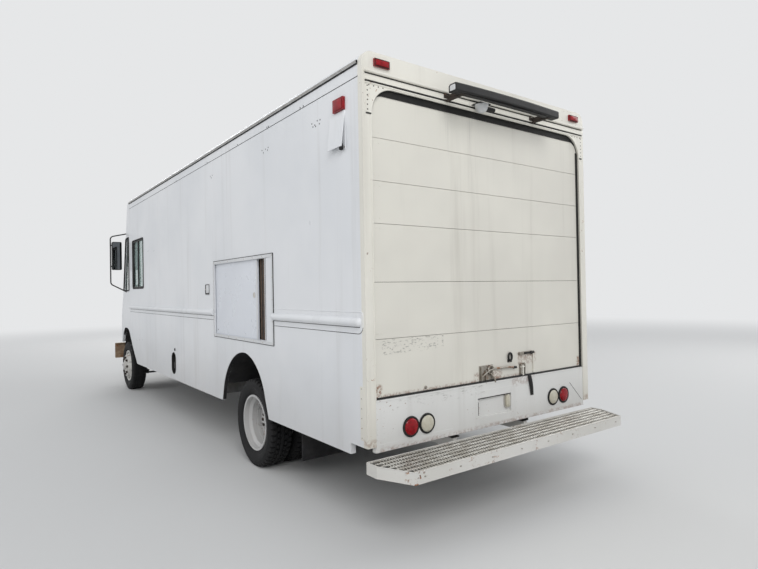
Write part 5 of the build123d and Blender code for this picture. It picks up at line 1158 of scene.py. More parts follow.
# %% [markdown]
# ## Rear lamps
# Each round lamp is a moulded lens in a rubber ring. The lens is a shallow dome with
# concentric steps, which break up the reflection as the ribs in real lenses do. Its profile
# falls as a circle does, and small waves are added to it.

# %% Lamp domes and markers
DOME_RADIUS = 0.0555
LAMP_Z = 0.693
RED_X, CLEAR_X = 0.856, 0.711
MARKER_X, MARKER_Y, MARKER_Z = 1.063, 3.9215, 3.122
share = np.linspace(1, 0, 19)
dome_height = 0.013 * np.sqrt(1 - 0.92 * share ** 2) + 0.0005 * np.cos(share * 38)
dome_height[0] = 0.0
dome = facing(lathe(np.column_stack([share * DOME_RADIUS, dome_height]), 40), "+Y")
grommet_turn = np.linspace(-np.pi / 2, np.pi * 1.5, 13)
grommet = lathe(np.column_stack([0.0635 + 0.0075 * np.cos(grommet_turn), 0.0055 * np.sin(grommet_turn)]), 40)
lens_y = SILL_Y + 0.0085
put("red_lamp_domes", mirrored(repeated(dome, [(RED_X, lens_y, LAMP_Z)])), "red_lens", crease=60)
put("clear_lamp_domes", mirrored(repeated(dome, [(CLEAR_X, lens_y, LAMP_Z)])), "clear_lens", crease=60)
ring_places = [(x, SILL_Y + 0.006, LAMP_Z) for x in (RED_X, CLEAR_X)]
put("lamp_rings", mirrored(set_at(grommet, "+Y", *ring_places)), "rubber")

header_marker = plate(round_outline(0.110, 0.038, 0.007), 0.004, 0.004)
marker_rim = tube(looped(round_outline(0.118, 0.046, 0.009)), 0.0032, 8)
side_marker = plate(round_outline(0.112, 0.074, 0.007), 0.004, 0.004)
header_domes = set_at(header_marker, "+Y", *[(side * MARKER_X, MARKER_Y, MARKER_Z) for side in (-1, 1)])
header_rims = set_at(marker_rim, "+Y", *[(side * MARKER_X, MARKER_Y - 0.001, MARKER_Z) for side in (-1, 1)])
side_domes = mirrored(set_at(side_marker, "+X", (SIDE_X + 0.0215, REAR_Y - 0.264, 2.895)))
put("header_marker_domes", header_domes, "red_lens", soften=0.001)
put("header_marker_rims", header_rims, "rubber")
put("side_marker_domes", side_domes, "red_lens", soften=0.001)

# %% [markdown]
# ## The step
# The tread is a punched grip plate: six rows of slots with raised teeth along their edges,
# in a white channel. The ribs between the slots are long thin boxes, and the webs across them
# and the teeth are one small shape repeated. A dark sheet below the slots is painted shade
# seen through them. The tread's corners are cut off with the step's, so each rib's length
# follows from how far back it lies.

# %% Step tread
TREAD_LOW, TREAD_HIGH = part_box("step_tread")
STEP_CUT_BACK, STEP_CUT_SIDE, STEP_DEPTH = 0.120, 0.110, 0.360
ROWS = 6


def step_half(behind):
    """Half width of the tread at a distance behind the rear face."""
    cut = np.clip((behind - STEP_CUT_BACK) / (STEP_DEPTH - STEP_CUT_BACK), 0, 1)
    return TREAD_HIGH.x - cut * STEP_CUT_SIDE


def on_tread(shape, places):
    """The shape copied to places of (x, y) on the tread."""
    return repeated(shape, np.column_stack([np.array(places), np.zeros(len(places))]))


rib_y = np.linspace(TREAD_LOW.y + 0.010, TREAD_HIGH.y - 0.010, ROWS + 1)
pitch_y = rib_y[1] - rib_y[0]
rib_half = step_half(rib_y - REAR_Y)
ribs = boxes(*[(-half, half, y - 0.009, y + 0.009, TREAD_LOW.z + 0.004, TREAD_HIGH.z - 0.004)
               for y, half in zip(rib_y, rib_half)])
web_x = np.arange(-1.17, 1.171, 0.024)
webs, teeth = [], []
for row, y in enumerate(rib_y[:-1]):
    middle_y = y + pitch_y / 2
    half = step_half(middle_y + 0.02 - REAR_Y) - 0.02
    shift = 0.012 * (row % 2)
    webs += [(x + shift, middle_y) for x in web_x if abs(x + shift) < half]
    teeth += [(x, edge) for x in np.arange(-half, half, 0.0125)
              for edge in (y + 0.0075, y + pitch_y - 0.0075)]
web = boxes((-0.0042, 0.0042, -pitch_y / 2, pitch_y / 2, TREAD_LOW.z + 0.004, TREAD_HIGH.z - 0.0045))
web[0][:, 0] += 0.30 * web[0][:, 1]
tooth = lathe([(radius, TREAD_HIGH.z - below)
               for radius, below in ((0.0042, 0.0045), (0.0030, 0.0005), (0, 0.0003))], 4)
tread = put("tread_ribs", joined(ribs, on_tread(web, webs)), "tread_aluminium")
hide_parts("step_tread")
put("tread_teeth", on_tread(tooth, teeth), "tread_aluminium", crease=20)

# %% [markdown]
# A dark sheet below the slots is painted shade, which closes the view through them. The white
# channel round the tread has a rounded lip along its upper and lower edge, with cut-off corners
# as the step has, and bolts hold it along its back.

# %% Painted shade below the tread, step lips and bolts
# Painted shade: a dark sheet below the slots.
sheet_y = np.array([TREAD_LOW.y, REAR_Y + STEP_CUT_BACK, TREAD_HIGH.y])
sheet_half = step_half(sheet_y - REAR_Y) - 0.002
low_z, high_z = TREAD_LOW.z - 0.001, TREAD_LOW.z + 0.002
under = np.stack([np.column_stack([side * sheet_half, sheet_y, np.full(3, z)])
                  for side, z in ((-1, low_z), (1, low_z), (1, high_z), (-1, high_z))], 1)
put("tread_base", carried(under), metals["underbody"])

step_low, step_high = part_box("rear_step")
lip_side = [(step_high.x - 0.001, REAR_Y + 0.02), (step_high.x - 0.001, REAR_Y + STEP_CUT_BACK),
            (1.130, step_high.y - 0.001)]
lip_line = [(-x, y, step_high.z - 0.002) for x, y in lip_side]
lip_line = np.array(lip_line + [(x, y, step_high.z - 0.002) for x, y in lip_side[::-1]])
low_lip = lip_line - (0, 0, step_high.z - step_low.z - 0.005)
put("step_lips", joined(tube(lip_line, 0.0035, 8), tube(low_lip, 0.0030, 8)), "step_white")
step_bolts = [(x, step_high.y, (step_low.z + step_high.z) / 2) for x in np.linspace(-1.05, 1.05, 8)]
put("step_bolts", set_at(bolt, "+Y", *step_bolts), metals["latch_steel"])

# %% [markdown]
# ## The light bar
# A black extruded bar stands out from the header on two brackets. The bar has bowed a little,
# so its section is carried along a shallow curve, which falls off with the square of the
# distance from the middle. White end caps close it, and a black lens runs along below it.

# %% Light bar
VISOR_LOW, VISOR_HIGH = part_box("visor_bar")
BAR_LOW_Y, BAR_HIGH_Y = REAR_Y + 0.130, VISOR_HIGH.y
bar_x = np.linspace(VISOR_LOW.x + 0.004, VISOR_HIGH.x - 0.004, 33)
section = np.array([(BAR_LOW_Y, 3.001), (BAR_LOW_Y, 3.046), (BAR_LOW_Y + 0.014, VISOR_HIGH.z),
                    (BAR_HIGH_Y - 0.008, VISOR_HIGH.z), (BAR_HIGH_Y, 3.048), (BAR_HIGH_Y, 3.004),
                    (BAR_HIGH_Y - 0.006, VISOR_LOW.z + 0.002), (BAR_LOW_Y + 0.010, VISOR_LOW.z + 0.002)])
bow = -0.009 * (bar_x / VISOR_HIGH.x) ** 2
bar_rings = np.broadcast_arrays(bar_x[:, None], section[None, :, 0], section[None, :, 1] + bow[:, None])
light_bar = put("light_bar", carried(np.stack(bar_rings, -1)), "bar_black", soften=0.0025)
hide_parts("visor_bar")
cap_outline = (section - section.mean(0)) * 0.66 + section.mean(0)
cap_ends = ((VISOR_HIGH.x - 0.006, VISOR_HIGH.x - 0.001), (VISOR_LOW.x + 0.001, VISOR_LOW.x + 0.006))
caps = [bar(cap_outline - (0, 0.009), (near_x, 0, 0), (far_x, 0, 0), (0, 1, 0), (0, 0, 1))
        for near_x, far_x in cap_ends]
put("light_bar_caps", joined(*caps), "trim_white", soften=0.002)
under_lens = (-0.54, 0.54, BAR_LOW_Y + 0.022, BAR_HIGH_Y - 0.018, VISOR_LOW.z - 0.008, VISOR_LOW.z + 0.001)
put("light_bar_lens", boxes(under_lens), moulds["mirror_black"], soften=0.002)

# %% [markdown]
# Each bracket is three flat strips: one on the header, one that reaches out on edge and one
# below it. A small dome camera hangs in the bar's shade, on a bent tube and a mounting plate.

# %% Light bar brackets and dome camera
BRACKET_REACH = BAR_LOW_Y + 0.004 - REAR_Y
bracket_rows = []
for low_x, high_x in ((-0.498, -0.462), (0.462, 0.498)):
    bracket_rows += [(low_x, high_x, 0, 0.005, 2.986, 3.046),
                     (low_x, low_x + 0.005, 0, BRACKET_REACH, 2.990, 3.032),
                     (low_x, high_x, 0.002, BAR_HIGH_Y - 0.03 - REAR_Y, 2.984, 2.990)]
put("light_bar_brackets", rear_boxes(REAR_Y, *bracket_rows), metals["rusty_black"], soften=0.0012)
bracket_bolts = [(side * 0.487, REAR_Y + 0.005, z) for side in (-1, 1) for z in (2.998, 3.034)]
put("bracket_bolts", set_at(bolt, "+Y", *bracket_bolts), metals["latch_steel"])
pot = lathe(((0.052, 0.030), (0.052, 0.018), (0.047, 0.010), (0.045, -0.002), (0.036, -0.018),
             (0.020, -0.028), (0, -0.031)), 30)
put("dome_camera", repeated(pot, [(0.165, REAR_Y + 0.056, 2.976)]), "trim_white")
mount = rear_boxes(REAR_Y, (0.110, 0.220, -SEAT, 0.100, 3.004, 3.010),
                   (0.110, 0.220, -SEAT, 0.005, 2.985, 3.010))
arm = np.array([(0.118, 0.050, 2.990), (0.060, 0.058, 2.986), (0.032, 0.060, 2.984)]) + (0, REAR_Y, 0)
put("dome_camera_mount", joined(mount, tube(arm, 0.017, 14)), metals["chassis_black"], soften=0.0012)

# %% [markdown]
# The side camera sits behind a leaning cover plate, and only its black housing shows at the
# foot. A cream strip of guard sheet is riveted over the lower rear corner, where loading
# wears the paint.

# %% Side camera and corner guard
cover_low, cover_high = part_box("camera_hood")
housing = lathe(((0.013, 0.030), (0.015, 0.010), (0.015, -0.006), (0.011, -0.012), (0, -0.013)), 18)
camera_place = (SIDE_X + 0.020, cover_high.y - 0.026, cover_low.z + 0.006)
put("side_camera", repeated(housing, [camera_place]), metals["chassis_black"])
cover_screw = (SIDE_X + 0.004, cover_high.y - 0.008, cover_low.z + 0.012)
put("side_camera_screws", set_at(screw, "+X", cover_screw), metals["latch_steel"])
guard = side_boxes((-SEAT, 0.002, REAR_Y - 0.076, REAR_Y - 0.022, 0.649, 1.000))
put("corner_guards", mirrored(guard), "post_cream", soften=0.0008)
guard_rivets = side_rivets((REAR_Y - 0.060, 0.665), (REAR_Y - 0.060, 0.985), 0.064, 0.002)
put("guard_rivets", mirrored(guard_rivets), metals["latch_steel"])

# %% [markdown]
# A black weather seal lies in front of the roller door under the header, drawn wide as painted
# shade in the gap above the door. It is a band between two gate shapes, the inner one lower
# and with tighter corners.

# %% Weather seal and painted shade
# Painted shade: the band's width and black stand for the shaded gap under the header.
outer_edge = (OPENING_HALF - 0.001, OPENING_TOP_Z - 0.001, 0.184)
inner_edge = (OPENING_HALF - 0.010, OPENING_TOP_Z - 0.052, 0.100)
seal_edges = ((outer_edge, 0.0008), (outer_edge, 0.006), (inner_edge, 0.006), (inner_edge, 0.0008))
seal_rings = np.stack([gate_line(*edge, 2.60, DOOR_Y + out, 12) for edge, out in seal_edges], 1)
put("door_weather_seal", carried(seal_rings), "rubber", soften=0.001)

# %% [markdown]
# ## Inside
# Through the hatch's gap and the windows the inside shows. The cargo walls are lined with
# plywood screwed to ribs, so the gap looks brown and dark. The driver's side has four sheets
# round the hatch, and the curb side has a row of equal ones behind the door's pocket.

# %% Plywood and ribs
LINER_FRONT_Y, LINER_BACK_Y = -1.45, REAR_Y - 0.06
LINER_Z = (1.09, 2.48)
WALL_IN_X = SIDE_X - 0.040
wood = Finish("plywood", roughness=0.62)
grain = wood.noise(9, 7, 0.62, stretch=(1, 0.35, 5))
wood_tone = wood.mix(wood.ramp(grain, 0.3, 0.7), (0.115, 0.068, 0.036), (0.060, 0.034, 0.018))
plywood = wood.done(wood_tone, normal=wood.relief(grain, 0.0006))
sheet_edges = np.linspace(-0.80, LINER_BACK_Y, 5)
curb_sheets = [(-WALL_IN_X + 0.0005, -WALL_IN_X + 0.009, low + 0.002, high - 0.002, *LINER_Z)
               for low, high in zip(sheet_edges[:-1], sheet_edges[1:])]
driver_sheets = [(WALL_IN_X - 0.009, WALL_IN_X - 0.0005, *row) for row in (
    (LINER_FRONT_Y, 1.08, *LINER_Z), (2.56, LINER_BACK_Y, *LINER_Z), (1.082, 2.558, 1.09, 1.165),
    (1.082, 2.558, 1.96, 2.48))]
put("plywood_liners", boxes(*curb_sheets, *driver_sheets), plywood, soften=0.001)
rib_places = np.arange(LINER_FRONT_Y, LINER_BACK_Y, 0.61)
rib_rows = [(side * WALL_IN_X - 0.018, side * WALL_IN_X + 0.018, y, y + 0.05, 2.56, 3.09)
            for side in (-0.985, 0.985) for y in rib_places]
bow_rows = [(-1.13, 1.13, y, y + 0.05, 3.115, 3.140) for y in rib_places]
put("roof_bows", boxes(*rib_rows, *bow_rows), "panel_white", soften=0.002)
slats = [(WALL_IN_X - 0.004, WALL_IN_X + 0.006, y, y + 0.016, 1.186, 1.938)
         for y in np.arange(2.215, 2.39, 0.058)]
put("jamb_slats", boxes(*slats), plywood, soften=0.001)

# %% [markdown]
# The driver's seat is two foam cushions in vinyl: each is a superellipsoid, a box with bulged
# faces and round edges, with sewn channels pressed into its front. Piping runs round the
# lower cushion's edge, and the back cushion leans.

# %% Driver's seat
SEAT_FRONT_Y, SEAT_BACK_Y = FRONT_AXLE_Y + 0.400, FRONT_AXLE_Y + 0.870
SEAT_TOP_Z = 1.385
LEAN = math.atan2(0.070, 0.675)
seat_low, seat_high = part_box("driver_seat")
SEAT_X = (seat_low.x + seat_high.x) / 2
SEAT_MIDDLE = np.array([SEAT_X, (SEAT_FRONT_Y + SEAT_BACK_Y) / 2, SEAT_TOP_Z - 0.065])


def power(value, exponent):
    """Signed power: squares up a sine or a cosine."""
    return np.sign(value) * np.abs(value) ** exponent


def cushion(half_x, half_y, half_z, rows=40, columns=96, channels=5, depth=0.010):
    """Superellipsoid of signed powers of the sine and cosine of two angles. Channels are pressed into its
    upper face: a narrow cosine trough at each."""
    v = np.linspace(-np.pi / 2, np.pi / 2, rows)[:, None]
    u = np.linspace(0, 2 * np.pi, columns, endpoint=False)[None]
    ring = power(np.cos(v), 0.42)
    x = half_x * ring * power(np.cos(u), 0.34)
    y = half_y * ring * power(np.sin(u), 0.34)
    z = half_z * power(np.sin(v), 0.60) + 0 * u
    trough = np.abs(np.cos(np.pi * channels * (x / half_x + 1) / 2)) ** 24
    edge = np.clip((half_x * 0.86 - np.abs(x)) / 0.02, 0, 1)
    return np.stack([x, y, z - depth * trough * edge * (z > 0)], -1)


seat_points = cushion(0.238, 0.233, 0.065) + SEAT_MIDDLE
seat_cushion = put("seat_cushion", grid_shape(seat_points), moulds["seat_vinyl"])
local_x, local_y, local_z = np.moveaxis(cushion(0.228, 0.334, 0.050), -1, 0)
back_y = -local_z * math.cos(LEAN) + local_y * math.sin(LEAN)
back_z = local_z * math.sin(LEAN) + local_y * math.cos(LEAN)
back_points = np.stack([local_x, back_y, back_z], -1) + (SEAT_X, SEAT_BACK_Y + 0.112, 1.7425)
back_cushion = put("seat_back_cushion", grid_shape(back_points), moulds["seat_vinyl"])
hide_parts("driver_seat")
seam_turn = np.linspace(0, 2 * np.pi, 49)
seam = np.column_stack([0.232 * power(np.cos(seam_turn), 0.34), 0.227 * power(np.sin(seam_turn), 0.34),
                        np.full(49, 0.003)])
put("seat_piping", tube(seam + SEAT_MIDDLE, 0.0045, 8), moulds["mirror_black"])
belt_path = [(SEAT_X + 0.262, SEAT_BACK_Y + 0.01, 1.30), (SEAT_X + 0.268, SEAT_BACK_Y + 0.03, 1.42)]
put("seat_buckle_stalk", tube(belt_path, 0.009, 10), moulds["mirror_black"])

# %% [markdown]
# The dash carries a cluster of round gauges in front of the driver, two vents and a row of
# switches, and pedals hang under it. Its face leans, so each piece is made flat and then
# turned onto that face.

# %% Dash and pedals
DASH_EDGE_Y = FRONT_AXLE_Y - 0.330
DASH_TILT = math.atan2(0.060, 0.240)


def on_dash(shape):
    """A shape made facing +Z, laid on the dash's face: that face leans forward going up."""
    x, y, z = shape[0].T
    out = z * math.cos(DASH_TILT) - y * math.sin(DASH_TILT)
    rise = y * math.cos(DASH_TILT) + z * math.sin(DASH_TILT)
    return np.stack([x, DASH_EDGE_Y + out - 0.0305, 1.352 + rise], -1), shape[1]


gauge_rim = lathe(((0.048, 0.000), (0.048, 0.010), (0.043, 0.012), (0.041, 0.004), (0, 0.004)), 28)
small_rim = (gauge_rim[0] * (0.62, 0.62, 1), gauge_rim[1])
gauge_places = [(SEAT_X + across, 0.01, 0.004) for across in (-0.06, 0.06)]
small_places = [(SEAT_X + across, up, 0.004) for across in (-0.15, 0.15) for up in (0.03, -0.045)]
cluster = repeated(plate(round_outline(0.42, 0.190, 0.03), 0.005), [(SEAT_X, 0.0, 0.0)])
put("gauge_panel", on_dash(cluster), moulds["wheel_plastic"], soften=0.002)
gauges = joined(repeated(gauge_rim, gauge_places), repeated(small_rim, small_places))
put("gauges", on_dash(gauges), metals["tread_aluminium"])
needle = boxes((-0.0012, 0.0012, 0, 0.034, 0.0045, 0.0060))
put("gauge_needles", on_dash(repeated(needle, gauge_places)), "red_lens")
vent = boxes(*[(-0.07, 0.07, z - 0.003, z + 0.003, 0, 0.012) for z in np.linspace(-0.03, 0.03, 5)],
             (-0.078, -0.070, -0.04, 0.04, 0, 0.014), (0.070, 0.078, -0.04, 0.04, 0, 0.014))
put("dash_vents", on_dash(repeated(vent, [(-0.75, 0.03, 0), (-0.15, 0.03, 0)])), moulds["wheel_plastic"],
    soften=0.0015)
switch = plate(round_outline(0.022, 0.034, 0.005), 0.008, 0.002)
switch_places = [(SEAT_X - 0.32 - 0.034 * number, 0.0, 0) for number in range(5)]
put("dash_switches", on_dash(repeated(switch, switch_places)), moulds["mirror_black"])
pedal_y = FRONT_AXLE_Y - 0.30
pedals = [(SEAT_X - 0.04, 0.05), (SEAT_X + 0.12, 0.03)]
pedal_rows = [(x - half, x + half, pedal_y, pedal_y + 0.02, 1.00, 1.08) for x, half in pedals]
put("pedals", boxes(*pedal_rows), "rubber", soften=0.006)
pedal_arms = [tube([(x, pedal_y, 1.04), (x, pedal_y - 0.10, 1.125)], 0.007, 8) for x, _ in pedals]
put("pedal_arms", joined(*pedal_arms), metals["chassis_black"])

# %% [markdown]
# ## Tyres
# A truck tyre is moulded in one piece: a bead that sits in the rim, a bulging sidewall with
# thin raised rings, and a tread of ribs. Straight grooves run round the ribs, and slots cut
# both shoulders. A tread can be built from hundreds of blocks, but here it is one surface
# carried round the axle: every row is a place across the tyre and every column an angle,
# and the radius falls wherever a groove or a slot passes.

# %% Tyres
PITCHES = 44  # tread pattern repeats round a tyre
GROOVE_DEPTH = 0.010


def sidewall(radius):
    """How far the wall bulges at a radius: a parabola through bead, bulge and shoulder."""
    share = (radius - 0.264) / 0.124
    return 0.0855 + 0.094 * share - 0.0795 * share ** 2


def tyre_half():
    """Rows of (across, radius, share of a shoulder slot, share of a middle slot), from bead to middle."""
    wall_radius = np.array([0.264, 0.272, 0.281, 0.282, 0.286, 0.287, 0.300, 0.315,
                            0.330, 0.3485, 0.3495, 0.353, 0.354, 0.366, 0.378, 0.388])
    raised = np.array([0, 0, 0, 1, 1, 0, 0, 0, 0, 0, 1, 1, 0, 0, 0, 0]) * 0.0016
    wall = np.column_stack([sidewall(wall_radius) + raised, wall_radius, np.zeros((16, 2))])
    wall[-1, 2] = 0.5
    deep = 0.405 - GROOVE_DEPTH
    tread = [(0.0965, 0.3975, 1, 0), (0.0865, 0.4035, 1, 0), (0.0620, 0.4045, 1, 0), (0.0610, 0.4045, 0, 0),
             (0.0565, 0.4045, 0, 0), (0.0560, deep, 0, 0), (0.0480, deep, 0, 0), (0.0475, 0.4048, 0, 0),
             (0.0470, 0.4048, 0, 1), (0.0235, 0.4048, 0, 1), (0.0230, 0.4048, 0, 0), (0.0225, deep, 0, 0),
             (0.0145, deep, 0, 0), (0.0140, 0.4050, 0, 0), (0.0, 0.4050, 0, 0)]
    return np.concatenate([[(0.0, 0.251, 0, 0), (0.0855, 0.251, 0, 0)], wall, tread])


def tyre_ring(middle_slots, slot_share, slot_depth):
    """A tyre round X: x across, y = r cos t, z = r sin t, where r is a row's radius less the slot depth at t.
    The slots of the two shoulders are half a pitch apart, each a share of the pitch long, and the ribs sway
    sideways once in each pitch."""
    half = tyre_half()
    rows = np.concatenate([half, half[-2::-1] * (-1, 1, 1, 1)])
    step = np.array([0, 0.02, slot_share, slot_share + 0.02])
    step = np.concatenate([step, step + 0.5])
    phase = (np.arange(PITCHES)[:, None] + step).ravel()
    cut = np.tile([[0, 1, 1, 0, 0, 0, 0, 0], [0, 0, 0, 0, 0, 1, 1, 0]], PITCHES)
    side = (rows[:, 0] < 0).astype(int)
    slot = rows[:, 2:3] * cut[side] + middle_slots * rows[:, 3:4] * cut[1 - side]
    radius = rows[:, 1:2] - slot_depth * slot
    turn = 2 * np.pi * phase / PITCHES
    sway = (np.abs(rows[:, :1]) < 0.058) * (rows[:, 1:2] > 0.39) * 0.003 * np.sin(2 * np.pi * phase)
    rings = np.broadcast_arrays(rows[:, :1] + sway, radius * np.cos(turn), radius * np.sin(turn))
    return grid_shape(np.stack(rings, -1))


front_tyre_x = (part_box("front_tyre_left")[0].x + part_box("front_tyre_left")[1].x) / 2
rear_tyres_x = (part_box("rear_tyres_left")[0].x + 0.1125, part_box("rear_tyres_left")[1].x - 0.1125)
front_ring, rear_ring = tyre_ring(0, 0.16, 0.010), tyre_ring(1, 0.30, 0.015)
for hand, side in (("left", 1), ("right", -1)):
    for node, body, ring, places, axle_y in (
        ("front_tyre_", "front_wheel_", front_ring, (front_tyre_x,), FRONT_AXLE_Y),
        ("rear_tyres_", "rear_wheels_", rear_ring, rear_tyres_x, REAR_AXLE_Y),
    ):
        rubber_rings = repeated(ring, [(side * x, axle_y, AXLE_Z) for x in places])
        tyre = put(node.rstrip("_") + "_tread_" + hand, rubber_rings, "tyre", body + hand, crease=30)
        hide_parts(node + hand)

# %% [markdown]
# ## Wheel nuts and stems
# The disc wheels are held by eight nuts on a circle, and the part has their hexagons. What
# is missing on them is small: the stud's end that stands out of each nut, the bolts of the
# axle shaft's flange, the grease cap's rim and the brass valve stem that reaches out through
# a hand hole. Each rides its own wheel.

# %% Studs, flange bolts and valve stems
WHEEL_DETAILS = {  # stems of node and body, axle, then x of the nuts' face, the hub's face and the disc
    "front_rim_": ("front_wheel_", FRONT_AXLE_Y, 1.2255, 1.2375, 1.160),
    "rear_rims_": ("rear_wheels_", REAR_AXLE_Y, 0.9625, 1.0315, 0.955),
}
stud = lathe([(0.0, -0.004), (0.0095, -0.004), (0.0095, 0.0030), (0.0080, 0.0050), (0.0, 0.0050)], 12)
flange_bolt = lathe([(0.0, -0.002), (0.0150, -0.002), (0.0150, 0.0090), (0.0130, 0.0115), (0.0, 0.0115)], 6)
nut = lathe([(0.0, -0.0265), (0.0200, -0.0265), (0.0200, -0.002), (0.0175, 0.0007), (0.0, 0.0007)], 6)
cap_rim = lathe([(0.0, -0.002), (0.054, -0.002), (0.054, 0.0015), (0.048, 0.0050), (0.030, 0.0065),
                 (0.0, 0.0070)], 40)
shaft_end = lathe([(0.0, -0.002), (0.030, -0.002), (0.030, 0.0030), (0.026, 0.0045), (0.0, 0.0045)], 28)


def ring_places(count, radius, height=0.0):
    """Points round the Z axis: (r cos t, r sin t, height)."""
    turn = 2 * np.pi * np.arange(count) / count
    return np.column_stack([radius * np.cos(turn), radius * np.sin(turn), np.full(count, height)])


def stem(disc_x):
    """A valve stem through a hand hole, 67.5 degrees up from the rear, that ends in a cap."""
    outwards = np.array([0, math.cos(math.radians(67.5)), math.sin(math.radians(67.5))])
    path = [disc_x * np.eye(3)[0] + np.array((along, 0, 0)) + reach * outwards
            for along, reach in ((-0.035, 0.218), (-0.012, 0.199), (0.024, 0.188), (0.040, 0.184))]
    return joined(tube(path[:3], 0.0035, 8), tube(path[2:], 0.0050, 8))


for node, (body, axle_y, nut_x, cap_x, disc_x) in WHEEL_DETAILS.items():
    front = node == "front_rim_"
    fixings = [repeated(stud, ring_places(8, 0.1375, nut_x)), repeated(nut, ring_places(8, 0.1375, nut_x))]
    if not front:
        fixings.append(repeated(flange_bolt, ring_places(8, 0.068, cap_x)))
    nuts = facing(joined(*fixings), "+X")
    middle = facing(repeated(cap_rim if front else shaft_end, [(0, 0, cap_x)]), "+X")
    for hand, flip in (("left", 1), ("right", -1)):
        for name, shape, finish in (
            ("wheel_nuts", nuts, metals["rusty_black"]),
            ("hub_end", middle, "rim_grey"),
            ("valve_stem", stem(disc_x), "latch_steel"),
        ):
            points, quads = shape
            placed = (points + (0, axle_y, AXLE_Z)) * (flip, 1, 1), quads
            put(f"{node}{name}_{hand}", placed, finish, body + hand)

# %% [markdown]
# ## The nose
# The nose is a pressed skin round the same flat body. Its windshield is two flat panes in
# rubber gaskets, and a wiper lies along the foot of each. The hood is a narrow lid held by
# two latches, and five marker lamps cross the brow. These lie on leaning planes, so every
# piece is made flat and then lifted onto its plane: point = foot + x X + y up + z out.

# %% Windshield gaskets and wipers
def leaning_face(low, high):
    """Foot, and unit vectors up and out, of the face between two rows of (height, ahead of the axle)."""
    up = np.array([0, low[1] - high[1], high[0] - low[0]], float)
    up /= np.linalg.norm(up)
    return np.array([0, FRONT_AXLE_Y - low[1], low[0]]), up, np.array([0, -up[2], up[1]])


def lifted(face, *shapes):
    """Flat pieces, made facing +Z, set on a leaning face."""
    foot, up, out = face
    points, quads = joined(*shapes)
    x, y, z = points.T
    return foot + np.outer(x, np.eye(3)[0]) + np.outer(y, up) + np.outer(z, out), quads


HOOD_ROW, SCREEN_ROW, BROW_ROW = (1.230, 0.800), (1.500, 0.622), (ROOF_Z, -0.155)
SCREEN_FACE, HOOD_FACE = leaning_face(SCREEN_ROW, BROW_ROW), leaning_face(HOOD_ROW, SCREEN_ROW)
WIPER_ARM = np.array([(0, 0, 0.020), (0.10, 0.030, 0.030), (0.40, 0.060, 0.024)])
WIPER_YOKE = np.array([(0.13, 0.045, 0.018), (0.36, 0.065, 0.024), (0.62, 0.075, 0.018)])
wiper_foot = lathe([(0.0, 0.0), (0.020, 0.0), (0.020, 0.014), (0.012, 0.024), (0.0, 0.024)], 16)
wiper_blade = boxes((0.12, 0.62, 0.058, 0.064, 0.001, 0.016))
gaskets, wipers = [], []
for side, pivot_x in ((-1, -0.86), (1, 0.16)):
    around = round_outline(0.993, 1.218, 0.078, 8) + (side * 0.5125, 0.670)
    gaskets += [tube(looped(around, 0.002), 0.011, 8), tube(looped(around, -0.008), 0.016, 8)]
    wiper = joined(wiper_foot, tube(WIPER_ARM, 0.0055), tube(WIPER_YOKE, 0.0050), wiper_blade)
    wipers.append(repeated(wiper, [(pivot_x, 0.020, 0.0)]))
put("screen_gaskets", lifted(SCREEN_FACE, *gaskets), "rubber")
put("wipers", lifted(SCREEN_FACE, *wipers), "bar_black")

# %% [markdown]
# Each marker lamp on the brow is a small amber dome on a rubber base. The hood's latches are
# a plate with a thicker tongue, and a bead runs round the hood's edge. Latches and bead ride
# the hood.

# %% Brow lamps and hood latches
BROW_X, BROW_UP = (-0.90, -0.22, 0, 0.22, 0.90), 1.440
brow_dome = plate(round_outline(0.104, 0.040, 0.018), 0.004, 0.012)
brow_base = plate(round_outline(0.124, 0.058, 0.026), 0.012)
brow_domes = repeated(brow_dome, [(x, BROW_UP, 0.024) for x in BROW_X])
brow_bases = repeated(brow_base, [(x, BROW_UP, 0.0) for x in BROW_X])
put("brow_marker_domes", lifted(SCREEN_FACE, brow_domes), "amber_lens")
put("brow_marker_bases", lifted(SCREEN_FACE, brow_bases), "rubber", soften=0.002)
tongue = repeated(plate(round_outline(0.026, 0.030, 0.010), 0.010, 0.004), [(0, -0.022, 0.008)])
latch = joined(plate(round_outline(0.034, 0.090, 0.012), 0.008, 0.004), tongue)
hood_latches = repeated(latch, [(-0.52, 0.060, 0.0), (0.52, 0.060, 0.0)])
put("hood_latches", lifted(HOOD_FACE, hood_latches), "rubber", body="hood")
hood_edge = looped(round_outline(1.190, 0.250, 0.012, 3) + (0, 0.150), 0.0015)
put("hood_edge_bead", lifted(HOOD_FACE, tube(hood_edge, 0.0035, 6)), "body_white", body="hood")

# %% [markdown]
# Each front lamp frame is one moulding round the headlamp and the turn lamp. Headlamp glass
# is pressed with upright flutes that spread the beam, so the lens is a grid whose depth
# follows a cosine across it, bulging towards the middle.

# %% Front lamps
LAMP_FACE_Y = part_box("clear_lamps")[0].y
LAMP_LOW_Z, LAMP_HIGH_Z = 0.870, 1.060
FRAME_Y = (LAMP_FACE_Y - 0.010, LAMP_FACE_Y + 0.012)
FRAME_SIDES = (  # two distances from the middle and two heights of each side of a lamp frame
    (0.550, 0.905, LAMP_HIGH_Z, LAMP_HIGH_Z + 0.014),
    (0.550, 0.905, LAMP_LOW_Z - 0.014, LAMP_LOW_Z),
    (0.550, 0.562, LAMP_LOW_Z, LAMP_HIGH_Z),
    (0.893, 0.905, LAMP_LOW_Z, LAMP_HIGH_Z),
    (0.8015, 0.8135, LAMP_LOW_Z, LAMP_HIGH_Z),
)


